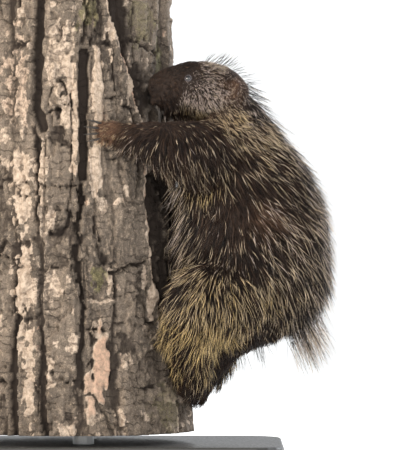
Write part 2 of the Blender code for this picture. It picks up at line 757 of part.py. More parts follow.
def body_lofts():
    """The lofts of every coated node, by name."""
    up = Vector((0, 0, 1))
    nape = Vector((0.4, 0, 1)).normalized()
    lofts = {
        "torso": Loft(TORSO, 22, 11, OUT, (0.020, 0.026), coat=CORE["torso"]),
        "neck": Loft(NECK, 18, 6, nape, (0.010, 0.020), in_world=True, coat=CORE["neck"]),
        "tail": Loft(TAIL, 14, 8, OUT, (0.02, 0.012), coat=CORE["tail"]),
        "head": head_loft(),
    }
    for name, side in SIDES:
        raised = RAISED["foreleg"][side < 0]
        lofts[f"foreleg_{name}"] = limb_loft(FORELEG, side, raised, 14, 8, up, (0.02, 0.008), CORE["foreleg"])
        raised = RAISED["hindleg"][side < 0]
        lofts[f"hindleg_{name}"] = limb_loft(HINDLEG, side, raised, 14, 9, OUT, (0.02, 0.010), CORE["hindleg"])
    return lofts


def make_body(lofts):
    """Head, ears, neck, torso and tail, each cut clear of the trunk and of what comes before it."""
    nodes = head_and_senses()
    torso, neck, skull = lofts["torso"], lofts["neck"], lofts["head"]
    for name in ("torso", "neck", "tail"):
        nodes[name] = lofts[name].solid(name)
        cut_by(nodes[name], trunk("cutter", BARK_GAP))
    for name in ("neck", "tail", "head"):
        cut_by(nodes[name], torso.solid("cutter", GAP))
    cut_by(nodes["head"], trunk("cutter", BARK_GAP), neck.solid("cutter", GAP))
    for name, side in SIDES:
        nodes[f"ear_{name}"] = ear(f"ear_{name}", side, skull)
        cut_by(nodes[f"ear_{name}"], skull.solid("cutter", GAP), neck.solid("cutter", GAP))
    return nodes


def make_limb(lofts, leg, end, plan, name, side):
    """A leg, its foot and its claws, each cut clear of what it grows from."""
    raised = RAISED[leg][side < 0]
    key = f"{leg}_{name}"
    limb = lofts[key].solid(key)
    beside = ("neck", "head") if leg == "foreleg" else ("tail",)
    cut_by(limb, trunk("cutter", BARK_GAP), *(lofts[n].solid("cutter", GAP) for n in ("torso", *beside)))
    paw = foot(f"{end}_{name}", plan, side, raised)
    cut_by(paw, trunk("cutter", BARK_GAP))
    cut_by(limb, foot("cutter", plan, side, raised, GAP))
    nodes = {key: limb, f"{end}_{name}": paw}
    _, claws = toes_and_claws(plan, side, raised)
    for i, claw in enumerate(claws):
        cut_by(limb, claw.solid("cutter", GAP))
        nail = claw.solid(f"claw_{end}_{name}_{i + 1}")
        cut_by(nail, foot("cutter", plan, side, raised, GAP), trunk("cutter", BARK_GAP))
        nodes[nail.name] = nail
    return nodes


def add_coat(nodes, lofts):
    """Grows the locks, from the tail end up so that each node's lie over the next, and fuses them."""
    coated = ("tail", "hindleg_left", "hindleg_right", "torso", "foreleg_left", "foreleg_right", "neck", "head")
    skin = tree_of_all([nodes[name] for name in coated])
    trees = {name: [tree_of(node)] for name, node in nodes.items()}
    rng = random.Random(LOCK_SEED)
    grown = {}
    for name in coated:
        others = [tree for other in trees if other != name for tree in trees[other]]
        grown[name], made = grow_locks(name, lofts[name], nodes[name], skin, others, rng)
        trees[name] += made
    for name in coated:
        combine(nodes[name], grown[name], "UNION")
        keep_largest(nodes[name])


def main():
    clear_scene()
    nodes = stand()
    nodes["perch_trunk"] = trunk("perch_trunk")
    lofts = body_lofts()
    nodes.update(make_body(lofts))
    for name, side in SIDES:
        nodes.update(make_limb(lofts, "foreleg", "forefoot", FOREFOOT, name, side))
        nodes.update(make_limb(lofts, "hindleg", "hindfoot", HINDFOOT, name, side))
    add_coat(nodes, lofts)
    paint(nodes)


main()
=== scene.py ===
"""Looks of the porcupine on its cottonwood perch: bark, skin, eyes, claws and a coat of solid hairs.

In metres, in the frame of the solids. The animal is drawn as they are, in (out, left, up): out is the
distance from the trunk's axis, and left is towards the animal's left side, which the camera sees.
"""

import math
from collections import namedtuple

import bmesh
import bpy
import numpy as np
from mathutils import Matrix, Vector
from mathutils.bvhtree import BVHTree
from mathutils.kdtree import KDTree


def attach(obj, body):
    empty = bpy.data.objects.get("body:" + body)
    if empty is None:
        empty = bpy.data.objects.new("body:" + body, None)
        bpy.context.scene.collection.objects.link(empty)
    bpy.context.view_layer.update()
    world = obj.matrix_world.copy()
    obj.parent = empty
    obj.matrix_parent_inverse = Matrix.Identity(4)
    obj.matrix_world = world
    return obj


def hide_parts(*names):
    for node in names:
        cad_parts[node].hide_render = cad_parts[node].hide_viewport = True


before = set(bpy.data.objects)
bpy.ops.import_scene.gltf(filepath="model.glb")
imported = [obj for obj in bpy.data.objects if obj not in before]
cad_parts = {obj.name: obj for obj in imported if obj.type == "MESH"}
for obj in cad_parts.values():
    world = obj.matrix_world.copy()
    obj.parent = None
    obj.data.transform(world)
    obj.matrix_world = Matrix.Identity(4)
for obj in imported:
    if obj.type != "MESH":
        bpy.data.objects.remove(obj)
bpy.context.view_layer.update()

# Sizes of the solids that the skin, claws and bark are drawn over
TRUNK_X = -0.060
TRUNK_BOTTOM = 0.034
TRUNK_TOP = 0.696
TRUNK_FOOT_RADIUS = 0.182
TRUNK_TOP_RADIUS = 0.149
BARK_DEPTH = 0.011
BARK_CREST = 0.45 * BARK_DEPTH
FACING = math.radians(12)
OUT = Vector((math.cos(FACING), -math.sin(FACING), 0))
LEFT = Vector((-math.sin(FACING), -math.cos(FACING), 0))
UP = Vector((0, 0, 1))


def animal(out, left, up):
    """World point of a place given in the animal's own plane."""
    return Vector((TRUNK_X, 0, 0)) + out * OUT + left * LEFT + up * UP


# Flesh stations: centre, then half sizes to the back, to the belly and to each side
TORSO = [
    ((0.2448, 0.026, 0.480), 0.048, 0.050, 0.050),
    ((0.2580, 0.016, 0.4365), 0.076, 0.076, 0.068),
    ((0.2653, 0.007, 0.387), 0.092, 0.087, 0.082),
    ((0.2689, 0.002, 0.3315), 0.100, 0.093, 0.091),
    ((0.2715, 0.000, 0.279), 0.098, 0.092, 0.095),
    ((0.2746, 0.000, 0.234), 0.083, 0.079, 0.086),
    ((0.2791, 0.000, 0.201), 0.055, 0.052, 0.060),
]
TAIL = [
    ((0.2837, 0.000, 0.207), 0.043, 0.043, 0.044),
    ((0.2577, 0.000, 0.1845), 0.030, 0.030, 0.038),
    ((0.2331, 0.000, 0.1635), 0.0245, 0.026, 0.034),
    ((0.2120, 0.000, 0.138), 0.0225, 0.024, 0.031),
    ((0.2004, 0.000, 0.1125), 0.0185, 0.0185, 0.027),
    ((0.1965, 0.000, 0.093), 0.0135, 0.0135, 0.020),
]
FORELEG = [
    ((0.2480, 0.036, 0.456), 0.042, 0.042, 0.036),
    ((0.2120, 0.090, 0.4635), 0.036, 0.038, 0.034),
    ((0.1800, 0.120, 0.4725), 0.027, 0.029, 0.026),
    ((0.1480, 0.131, 0.4785), 0.020, 0.021, 0.019),
    ((0.1195, 0.1325, 0.4815), 0.0150, 0.0150, 0.0145),
]
HINDLEG = [
    ((0.2680, 0.040, 0.250), 0.058, 0.058, 0.052),
    ((0.2430, 0.078, 0.246), 0.053, 0.053, 0.048),
    ((0.2160, 0.102, 0.228), 0.040, 0.040, 0.038),
    ((0.2080, 0.096, 0.180), 0.030, 0.030, 0.029),
    ((0.2060, 0.078, 0.138), 0.0225, 0.0225, 0.0225),
    ((0.2000, 0.067, 0.112), 0.019, 0.019, 0.019),
]
# The neck and head are turned to the animal's left, so their centres are world (x, y, z)
NECK = [
    ((0.163, -0.0895, 0.533), 0.035, 0.042, 0.038),
    ((0.180, -0.0860, 0.512), 0.040, 0.047, 0.043),
    ((0.188, -0.0805, 0.488), 0.047, 0.052, 0.049),
    ((0.190, -0.0745, 0.462), 0.054, 0.054, 0.052),
]
HEAD = [
    ((0.0668, -0.1000, 0.5410), 0.0190, 0.0190, 0.0130),
    ((0.0735, -0.0996, 0.5445), 0.0270, 0.0300, 0.0190),
    ((0.0855, -0.0988, 0.5470), 0.0325, 0.0350, 0.0235),
    ((0.1020, -0.0975, 0.5490), 0.0365, 0.0365, 0.0270),
    ((0.1215, -0.0960, 0.5500), 0.0400, 0.0390, 0.0330),
    ((0.1425, -0.0940, 0.5475), 0.0405, 0.0420, 0.0375),
    ((0.1635, -0.0920, 0.5415), 0.0410, 0.0430, 0.0390),
    ((0.1800, -0.0905, 0.5290), 0.0370, 0.0410, 0.0380),
]
SIDES = (("left", 1), ("right", -1))
RAISED = {"foreleg": 0.018, "hindleg": 0.010}


# Shapes


def object_of(bm, name):
    mesh = bpy.data.meshes.new(name)
    bm.to_mesh(mesh)
    bm.free()
    made = bpy.data.objects.new(name, mesh)
    bpy.context.scene.collection.objects.link(made)
    return made


def wrapped_grid(columns, rows, surface):
    """A closed bmesh: a grid whose columns run round and whose first and last rows each meet in a point."""
    bm = bmesh.new()
    bmesh.ops.create_grid(bm, x_segments=columns, y_segments=rows, size=1.0)
    for vert in bm.verts:
        column = round((vert.co.x + 1) / 2 * columns) % columns
        row = round((vert.co.y + 1) / 2 * rows)
        vert.co = surface(column, row)
    bmesh.ops.remove_doubles(bm, verts=bm.verts[:], dist=1e-6)
    bmesh.ops.recalc_face_normals(bm, faces=bm.faces[:])
    return bm


def smooth_between(values, place):
    """Catmull-Rom value of a list of vectors at a place counted in list steps."""
    last = len(values) - 1
    i = min(int(place), last - 1)
    t = place - i
    b, c = values[i], values[i + 1]
    a = values[i - 1] if i > 0 else 2 * b - c
    d = values[i + 2] if i + 2 <= last else 2 * c - b
    return 0.5 * ((2 * b) + (c - a) * t + (2 * a - 5 * b + 4 * c - d) * t**2 + (3 * b - 3 * c + d - a) * t**3)


class Loft:
    """A round body of flesh drawn through stations, with a rounded cap on each end."""

    def __init__(self, stations, back, caps, in_world=False):
        self.centres = [Vector(c) if in_world else animal(*c) for c, *_ in stations]
        self.halves = [Vector(h) for _, *h in stations]
        self.back = back
        self.caps = caps
        self.last = len(stations) - 1

    def section(self, place):
        """Centre, direction, back axis, side axis and half sizes at a place counted in stations."""
        centre = smooth_between(self.centres, place)
        before = smooth_between(self.centres, max(place - 0.02, 0))
        after = smooth_between(self.centres, min(place + 0.02, self.last))
        along = (after - before).normalized()
        back = (self.back - self.back.dot(along) * along).normalized()
        return centre, along, back, along.cross(back), smooth_between(self.halves, place)

    def point(self, place, angle, grow=0.0, share=1.0, offset=0.0):
        """A point on the surface: angle 0 is at the back, a quarter turn is at the side axis."""
        centre, along, back, side, (up, down, wide) = self.section(place)
        cap = (self.caps[0] if offset < 0 else self.caps[1]) + grow
        tall = up if math.cos(angle) > 0 else down
        return (
            centre
            + along * offset * cap
            + back * math.cos(angle) * (tall + grow) * share
            + side * math.sin(angle) * (wide + grow) * share
        )

    def normal(self, place, angle):
        round_it = self.point(place, angle + 0.01) - self.point(place, angle - 0.01)
        along = self.point(min(place + 0.01, self.last), angle) - self.point(max(place - 0.01, 0), angle)
        out = round_it.cross(along).normalized()
        return out if out.dot(self.point(place, angle) - self.section(place)[0]) > 0 else -out

    def solid(self, name, sides, rings, grow=0.0):
        turns = [math.radians(90 - 15 * i) for i in range(6)]
        rows = [(0, math.cos(a), -math.sin(a)) for a in turns]
        rows += [(self.last * i / (rings - 1), 1, 0) for i in range(rings)]
        rows += [(self.last, math.cos(a), math.sin(a)) for a in reversed(turns)]

        def surface(column, row):
            place, share, offset = rows[row]
            return self.point(place, 2 * math.pi * column / sides, grow, share, offset)

        return object_of(wrapped_grid(sides, len(rows) - 1, surface), name)

    def measure(self, points):
        """For an array of points: place along the loft, angle from the back, and distance off its surface."""
        steps = [self.section(self.last * i / 150) for i in range(151)]
        centres, along, back, side, halves = (np.array([list(s[k]) for s in steps]) for k in range(5))
        nearest = np.empty(len(points), int)
        for start in range(0, len(points), 20000):
            part = points[start : start + 20000]
            gaps = (part**2).sum(1)[:, None] - 2 * part @ centres.T + (centres**2).sum(1)[None, :]
            nearest[start : start + 20000] = gaps.argmin(1)
        offset = points - centres[nearest]
        high = (offset * back[nearest]).sum(1)
        across = (offset * side[nearest]).sum(1)
        beyond = (offset * along[nearest]).sum(1)
        near = halves[nearest]
        tall = np.where(high > 0, near[:, 0], near[:, 1])
        cap = np.where(beyond < 0, self.caps[0], self.caps[1])
        reach = np.sqrt((high / tall) ** 2 + (across / near[:, 2]) ** 2 + (beyond / cap) ** 2)
        away = (reach - 1) * (tall + near[:, 2]) / 2
        return nearest / 150, np.arctan2(across, high), away


def ball(name, centre, sizes, columns=32, rows=20, turn=None):
    bm = bmesh.new()
    bmesh.ops.create_uvsphere(bm, u_segments=columns, v_segments=rows, radius=1.0)
    matrix = Matrix.Translation(centre) @ (turn or Matrix.Identity(4)) @ Matrix.Diagonal((*sizes, 1))
    bmesh.ops.transform(bm, matrix=matrix, verts=bm.verts[:])
    return object_of(bm, name)


def apply_modifiers(target):
    graph = bpy.context.evaluated_depsgraph_get()
    made = bpy.data.meshes.new_from_object(target.evaluated_get(graph))
    target.modifiers.clear()
    target.data = made
    return target


def combine(target, others, operation):
    """One Boolean of the target with closed meshes, which are then removed."""
    group = bpy.data.collections.new("pieces")
    bpy.context.scene.collection.children.link(group)
    for other in others:
        group.objects.link(other)
    change = target.modifiers.new(operation, "BOOLEAN")
    change.operation = operation
    change.solver = "MANIFOLD"
    change.operand_type = "COLLECTION"
    change.collection = group
    apply_modifiers(target)
    for other in others:
        bpy.data.objects.remove(other)
    bpy.data.collections.remove(group)
    return target


def remeshed(target, voxel, smoothing):
    """Fuses overlapping closed shapes into one even skin."""
    fuse = target.modifiers.new("fuse", "REMESH")
    fuse.mode = "VOXEL"
    fuse.voxel_size = voxel
    ease = target.modifiers.new("ease", "SMOOTH")
    ease.factor = 0.5
    ease.iterations = smoothing
    return apply_modifiers(target)


def vert_array(mesh, what="co"):
    found = np.empty(len(mesh.vertices) * 3)
    if what == "co":
        mesh.vertices.foreach_get("co", found)
    else:
        mesh.vertex_normals.foreach_get("vector", found)
    return found.reshape(-1, 3)


# Noise and cells over a plane, for shapes that the bark's height needs before it is a mesh


def soft_noise(across, up, size, seed, around=None):
    """Smooth noise from -1 to 1 in blotches of the given size, closed round a trunk of that girth."""
    table = np.random.default_rng(seed).uniform(-1, 1, (256, 256))
    columns = max(2, round(around / size[0])) if around else 256
    x = across / (around / columns if around else size[0])
    y = up / size[1]
    i, j = np.floor(x).astype(int), np.floor(y).astype(int)
    s, t = x - i, y - j
    s, t = s * s * (3 - 2 * s), t * t * (3 - 2 * t)
    left, right = i % columns % 256, (i + 1) % columns % 256
    low, high = j % 256, (j + 1) % 256
    below = table[left, low] * (1 - s) + table[right, low] * s
    above = table[left, high] * (1 - s) + table[right, high] * s
    return below * (1 - t) + above * t


def cracked(across, up, size, seed, around):
    """Distance to the border of the nearest cell, in metres, and three draws for each cell."""
    columns = round(around / size[0])
    wide = around / columns
    draws = np.random.default_rng(seed).uniform(0, 1, (5, columns, 256))
    x, y = across / wide, up / size[1]
    i, j = np.floor(x).astype(int), np.floor(y).astype(int)
    first = np.full(x.shape, 9.0)
    second = np.full(x.shape, 9.0)
    own = np.zeros((3, *x.shape))
    for di in (-1, 0, 1):
        for dj in (-1, 0, 1):
            column, row = (i + di) % columns, (j + dj) % 256
            px = i + di + 0.15 + 0.7 * draws[0, column, row]
            py = j + dj + 0.10 + 0.8 * draws[1, column, row]
            gap = np.hypot(x - px, y - py)
            closer = gap < first
            second = np.where(closer, first, np.minimum(second, gap))
            first = np.where(closer, gap, first)
            for k in range(3):
                own[k] = np.where(closer, draws[2 + k, column, row], own[k])
    return (second - first) / 2 * wide, own


def eased(value, low, high):
    share = np.clip((value - low) / (high - low), 0, 1)
    return share * share * (3 - 2 * share)


# Materials


def new_material(name, roughness=0.7):
    """A material, its node tree, which is called paint below, and its shader."""
    made = bpy.data.materials.new(name)
    made.use_nodes = True
    shader = made.node_tree.nodes["Principled BSDF"]
    shader.inputs["Roughness"].default_value = roughness
    return made, made.node_tree, shader


def add_node(paint, kind, **settings):
    made = paint.nodes.new(kind)
    for key, value in settings.items():
        setattr(made, key, value)
    return made


def attribute(paint, name):
    return add_node(paint, "ShaderNodeAttribute", attribute_name=name)


def noise(paint, scale, detail=4.0, stretch=(1, 1, 1), roughness=0.55):
    """Noise on Object coordinates, stretched by an amount on each axis."""
    place = paint.nodes.new("ShaderNodeTexCoord")
    mapping = paint.nodes.new("ShaderNodeMapping")
    mapping.inputs["Scale"].default_value = stretch
    made = paint.nodes.new("ShaderNodeTexNoise")
    made.inputs["Scale"].default_value = scale
    made.inputs["Detail"].default_value = detail
    made.inputs["Roughness"].default_value = roughness
    paint.links.new(place.outputs["Object"], mapping.inputs["Vector"])
    paint.links.new(mapping.outputs["Vector"], made.inputs["Vector"])
    return made


def blend(paint, share, first, second, mode="MIX"):
    """A colour between two others. Each may be a colour or a socket, and share a number or a socket."""
    made = add_node(paint, "ShaderNodeMix", data_type="RGBA", blend_type=mode)
    for socket, value in ((made.inputs[0], share), (made.inputs[6], first), (made.inputs[7], second)):
        if isinstance(value, bpy.types.NodeSocket):
            paint.links.new(value, socket)
        elif isinstance(value, (int, float)):
            socket.default_value = value
        else:
            socket.default_value = (*value, 1)
    return made.outputs[2]


def spread(paint, value, low, high, start=0.0, end=1.0):
    made = add_node(paint, "ShaderNodeMapRange", interpolation_type="SMOOTHSTEP")
    for key, number in (("From Min", low), ("From Max", high), ("To Min", start), ("To Max", end)):
        made.inputs[key].default_value = number
    paint.links.new(value, made.inputs["Value"])
    return made.outputs["Result"]


def maths(paint, operation, first, second=None):
    made = add_node(paint, "ShaderNodeMath", operation=operation)
    for socket, value in zip(made.inputs, (first, second)):
        if isinstance(value, bpy.types.NodeSocket):
            paint.links.new(value, socket)
        elif value is not None:
            socket.default_value = value
    return made.outputs[0]


def bump(paint, shader, height, distance, strength=1.0):
    made = paint.nodes.new("ShaderNodeBump")
    made.inputs["Distance"].default_value = distance
    made.inputs["Strength"].default_value = strength
    paint.links.new(height, made.inputs["Height"])
    paint.links.new(made.outputs["Normal"], shader.inputs["Normal"])


def set_attribute(mesh, name, values):
    made = mesh.attributes.new(name, "FLOAT", "POINT")
    made.data.foreach_set("value", np.asarray(values, np.float32))


def finish_piece(piece, material, slot, *nodes):
    piece.data.materials.clear()
    piece.data.materials.append(material)
    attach(piece, "root")
    if nodes:
        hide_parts(*nodes)
    return piece


# The trunk

# The girth that the bark's noise and cells close round
GIRTH = 2 * math.pi * 0.165
BARK_COLUMNS = 430
BARK_ROWS = 218
CAP_ROWS = 5
# The ridges of the solid: the furrows between them, as degrees round the trunk at its foot and at its top
# and their depth, and the heights at which the ridges break across into plates
RIDGE_FURROWS = (
    ((-121, -125), 0.010), ((-104, -107), 0.013), ((-83, -82), 0.013), ((-64, -73), 0.008),
    ((-24, -60), 0.013), ((4, -22), 0.010), ((28, 12), 0.012), ((54, 44), 0.010), ((80, 76), 0.013),
    ((106, 106), 0.010), ((132, 134), 0.012), ((158, 162), 0.010), ((184, 188), 0.013), ((212, 214), 0.011),
)
SUNKEN_RIDGE = 4
BARK_BREAKS = (0.110, 0.205, 0.290, 0.415, 0.520, 0.615)
# The angle round the trunk where the bark's grid is finest, on the side that is seen, and how much it
# crowds there
BARK_FINEST = math.radians(-70)
BARK_CROWDING = 0.42
# Sizes of the cells that the bark breaks into, across and up: thin flakes and the chips that hold them
FLAKE_CELL = (0.0085, 0.0105)
CHIP_CELL = (0.021, 0.026)
# Depths of the long splits, of the breaks across a ridge and of the cracks round chips and flakes
SPLIT_DEPTH = 0.0060
BREAK_DEPTH = 0.0055
CHIP_CRACK = 0.0011
FLAKE_CRACK = 0.0006
# Sheets of bark that lie one on another: size across and up, how far chips and flakes fray the edge,
# height, where in its noise the sheet begins, and the noise's seed
BARK_SHEETS = (
    ((0.034, 0.080), 0.45, 0.25, 0.0048, 0.04, 18),
    ((0.020, 0.044), 0.30, 0.60, 0.0034, 0.00, 19),
    ((0.014, 0.024), 0.15, 0.90, 0.0022, 0.10, 20),
)
SHEET_EDGE = 0.07
# Marks of the bark as seen from the camera, (x, z) in metres: furrows with their half width and depth
FURROWS = [
    ([(-0.0385, 0.600), (-0.0385, 0.500), (-0.0385, 0.418)], 0.0078, 0.0145),
    ([(-0.104, 0.700), (-0.110, 0.600), (-0.110, 0.520), (-0.100, 0.490)], 0.0076, 0.0140),
    ([(-0.140, 0.210), (-0.146, 0.180), (-0.146, 0.130), (-0.142, 0.030)], 0.0060, 0.0140),
    ([(0.002, 0.276), (0.012, 0.279), (0.030, 0.287), (0.056, 0.290)], 0.0030, 0.0100),
    ([(-0.034, 0.292), (-0.037, 0.262), (-0.034, 0.232)], 0.0024, 0.0065),
    ([(0.004, 0.399), (0.008, 0.340), (0.004, 0.288)], 0.0022, 0.0050),
    ([(-0.044, 0.100), (-0.020, 0.094), (-0.006, 0.070), (0.010, 0.034)], 0.0028, 0.0070),
    ([(0.030, 0.150), (0.040, 0.110), (0.052, 0.094)], 0.0030, 0.0060),
]
# Ridge edges where the bark to the right of the line lies lower: its points and the drop
# Along each edge the bark is painted pale: a painted highlight where light catches the ridge
STEPS = [
    ([(-0.006, 0.700), (0.010, 0.640), (0.034, 0.570), (0.050, 0.505), (0.058, 0.470), (0.056, 0.330),
      (0.062, 0.300), (0.074, 0.235), (0.086, 0.176), (0.098, 0.100), (0.108, 0.034)], 0.0060),
    ([(-0.030, 0.236), (-0.012, 0.230), (0.004, 0.236)], 0.0040),
]
# Patches: (centre x, z), half sizes, then how fresh and how warm the wood is, and its lichen; in some patches
# the paleness is painted light, marked below. A patch fresher than WHOLE_FACE is one smooth torn face
WHOLE_FACE = 1.2
PATCHES = [
    ((-0.016, 0.540), (0.011, 0.082), 1.6, 0.0, 0.0),
    ((-0.019, 0.430), (0.012, 0.050), 1.5, 0.0, 0.0),
    ((-0.051, 0.500), (0.005, 0.095), 0.8, 0.0, 0.0),
    ((-0.048, 0.428), (0.014, 0.020), 0.9, 0.4, 0.0),
    ((-0.074, 0.590), (0.024, 0.085), 0.55, 0.1, 0.0),
    ((-0.060, 0.560), (0.010, 0.040), 0.8, 0.2, 0.0),
    # These five patches follow the first ridge edge of STEPS: a painted highlight laid on as pale fresh wood
    ((0.006, 0.650), (0.006, 0.060), 0.9, 0.2, 0.0),
    ((0.034, 0.560), (0.005, 0.060), 0.7, 0.1, 0.0),
    ((0.056, 0.272), (0.005, 0.022), 0.9, 0.2, 0.0),
    ((0.066, 0.238), (0.006, 0.034), 0.95, 0.3, 0.0),
    ((0.077, 0.196), (0.005, 0.030), 0.8, 0.3, 0.0),
    ((-0.010, 0.140), (0.014, 0.066), 1.25, 0.8, 0.0),
    ((-0.026, 0.096), (0.012, 0.044), 1.25, 0.7, 0.0),
    ((0.004, 0.262), (0.006, 0.022), 0.9, 0.1, 0.0),
    ((-0.048, 0.045), (0.014, 0.024), 1.0, 0.1, 0.0),
    ((0.018, 0.044), (0.010, 0.035), 0.9, 0.2, 0.0),
    # These six patches pale and warm the trunk's left side: partly its own paler wood, partly painted
    # sunlight
    ((-0.120, 0.120), (0.010, 0.110), 1.0, 0.1, 0.0),
    ((-0.130, 0.250), (0.020, 0.110), 0.75, 0.2, 0.0),
    ((-0.140, 0.560), (0.026, 0.110), 0.55, 0.5, 0.0),
    ((-0.135, 0.400), (0.020, 0.080), 0.80, 0.2, 0.0),
    ((-0.105, 0.420), (0.012, 0.070), 0.65, 0.2, 0.0),
    ((-0.095, 0.300), (0.016, 0.110), 0.45, 0.1, 0.0),
    ((-0.030, 0.660), (0.024, 0.034), 0.0, 0.0, 0.8),
    ((0.052, 0.650), (0.026, 0.045), 0.0, 0.0, 0.7),
    ((0.080, 0.600), (0.006, 0.060), 0.0, 0.0, 0.9),
    ((-0.016, 0.268), (0.014, 0.026), 0.0, 0.0, 0.9),
    ((0.090, 0.080), (0.026, 0.050), 0.0, 0.0, 0.7),
    ((0.026, 0.395), (0.030, 0.022), 0.0, 0.3, 0.35),
]


def trunk_radius(height):
    """Radius of the trunk without its bark: nearly straight, flaring towards the foot. Takes arrays too."""
    share = (height - TRUNK_BOTTOM) / (TRUNK_TOP - TRUNK_BOTTOM)
    return TRUNK_TOP_RADIUS + (TRUNK_FOOT_RADIUS - TRUNK_TOP_RADIUS) * np.maximum(1 - share, 0) ** 1.6


def line_distance(x, z, line):
    """Distance to a line of points, and on which side of it a place lies: above 0 to the right of it."""
    best = np.full(x.shape, 9.0)
    side = np.zeros(x.shape)
    for (ax, az), (bx, bz) in zip(line, line[1:]):
        lx, lz = bx - ax, bz - az
        t = np.clip(((x - ax) * lx + (z - az) * lz) / (lx * lx + lz * lz), 0, 1)
        gap = np.hypot(x - ax - t * lx, z - az - t * lz)
        closer = gap < best
        best = np.where(closer, gap, best)
        side = np.where(closer, np.sign((z - az) * lx - (x - ax) * lz), side)
    return best, side


def furrow_turn(index, share):
    """Angle of one of the solid's furrows at a share of the height."""
    around, index = divmod(index, len(RIDGE_FURROWS))
    foot, top = RIDGE_FURROWS[index][0]
    wander = 1.8 * np.sin(5.1 * share + 1.7 * index) + 0.8 * np.sin(11 * share + 2.9 * index)
    return np.radians(foot + (top - foot) * share + wander + 360 * around)


def plates(turn, height, ragged):
    """At each place: how near the nearest furrow runs, its depth, the plate's rise and the nearest break."""
    share = (height - TRUNK_BOTTOM) / (TRUNK_TOP - TRUNK_BOTTOM)
    first = furrow_turn(0, share)
    bent = turn + ragged / trunk_radius(height)
    bent = (bent - first) % (2 * math.pi) + first
    gap = np.full(turn.shape, 9.0)
    deep = np.zeros(turn.shape)
    ridge = np.zeros(turn.shape, int)
    for index in range(len(RIDGE_FURROWS) + 1):
        angle = furrow_turn(index, share)
        own = index % len(RIDGE_FURROWS)
        ridge = np.where(bent >= angle, own, ridge)
        near = np.abs(bent - angle) * trunk_radius(height)
        depth = RIDGE_FURROWS[own][1] * (0.80 + 0.20 * np.sin(7 * share + 2.3 * own))
        deep = np.where(near < gap, depth, deep)
        gap = np.minimum(gap, near)
    plate = np.zeros(turn.shape, int)
    broken = np.full(turn.shape, 9.0)
    for index, level in enumerate(BARK_BREAKS):
        line = level + 0.010 * np.sin(3 * turn + index + 1) + ragged * 1.5
        plate = np.where(height > line, index + 1, plate)
        open_here = (5 * ridge + 3 * index) % 4 > 0
        broken = np.minimum(broken, np.where(open_here, np.abs(height - line), 9.0))
    rise = 1.0 - 0.14 * ((7 * ridge + 5 * plate) % 4)
    rise = np.where((ridge == SUNKEN_RIDGE) & (share > 0.25), rise - 0.45, rise)
    return gap, deep, BARK_DEPTH * (rise - 0.55), broken


def sheets(across, height, chip, flake):
    """Rise of the bark's sheets over its ridges, and how many of them lie on one another."""
    rise = np.zeros(height.shape)
    top = np.zeros(height.shape)
    for size, by_chip, by_flake, thick, start, seed in BARK_SHEETS:
        sheet = soft_noise(across, height, size, seed, GIRTH)
        sheet = sheet + by_chip * (chip[2] - 0.5) + by_flake * (flake[0] - 0.5)
        over = eased(sheet, start, start + SHEET_EDGE)
        rise = rise + thick * (over - 0.6)
        top = top + over
    return rise, top


def bark_relief(turn, height):
    """Height of the bark over the trunk's radius, how deep, warm and mossy it is, and how pale: fresh wood
    and painted light.
    """
    across = turn / (2 * math.pi) * GIRTH
    flake_edge, flake = cracked(across, height, FLAKE_CELL, 7, GIRTH)
    bent = across + 0.003 * (flake[1] - 0.5)
    chip_edge, chip = cracked(bent, height + 0.004 * (flake[2] - 0.5), CHIP_CELL, 6, GIRTH)
    ragged = 0.0045 * (flake[1] - 0.5) + 0.0075 * (chip[1] - 0.5)
    ragged = ragged + 0.004 * soft_noise(across, height, (0.03, 0.05), 3, GIRTH)
    gap, deep, level, broken = plates(turn, height, ragged)
    floor = 0.0036 * np.maximum(soft_noise(across, height, (0.09, 0.10), 8, GIRTH) + 0.35, 0.0)
    rise = eased(gap, floor, floor + 0.0055)
    relief = (level - 0.0024) * rise - deep * 1.12 * (1 - rise)
    split = np.abs(soft_noise(across, height, (0.040, 0.23), 17, GIRTH) + 0.10 * (chip[1] - 0.5))
    relief = relief - SPLIT_DEPTH * (1 - eased(split, 0.012, 0.060)) * rise
    relief = relief - BREAK_DEPTH * (1 - eased(broken, 0.0010, 0.0038)) * rise
    relief = relief + 0.0018 * soft_noise(across, height, (0.030, 0.050), 11, GIRTH) * rise
    over, top = sheets(across, height, chip, flake)
    relief = relief + over * rise - CHIP_CRACK * (1 - eased(chip_edge, 0.0, 0.0013)) * rise
    rough = soft_noise(across, height, (0.0050, 0.0060), 9, GIRTH) * 0.7
    rough = rough + soft_noise(across, height, (0.0030, 0.0040), 10, GIRTH) * 0.6
    relief = relief + 0.0008 * rough - FLAKE_CRACK * (1 - eased(flake_edge, 0.0, 0.0010)) * rise
    fresh_and_lit = eased(chip[2], 0.88, 0.96) * eased(rise, 0.5, 0.9) * 0.55
    fresh_and_lit = np.maximum(fresh_and_lit, eased(flake[2], 0.88, 0.95) * eased(top, 1.2, 2.0) * 0.6)
    warm = chip[0] * eased(gap, 0.012, 0.003)
    moss = eased(soft_noise(across, height, (0.07, 0.09), 12, GIRTH), 0.45, 0.9) * 0.5
    relief, fresh_and_lit, warm, moss = seen_marks(turn, height, flake, relief, fresh_and_lit, warm, moss)
    relief = np.minimum(relief, BARK_CREST - 0.0008)
    # How deep the bark lies, 0 in the furrows to 1 on the crests; the bark material darkens the low places
    # with it as painted shade
    depth = eased(relief, -0.0115, -0.0010)
    return relief, depth, fresh_and_lit * eased(relief, -0.010, -0.004), warm, moss


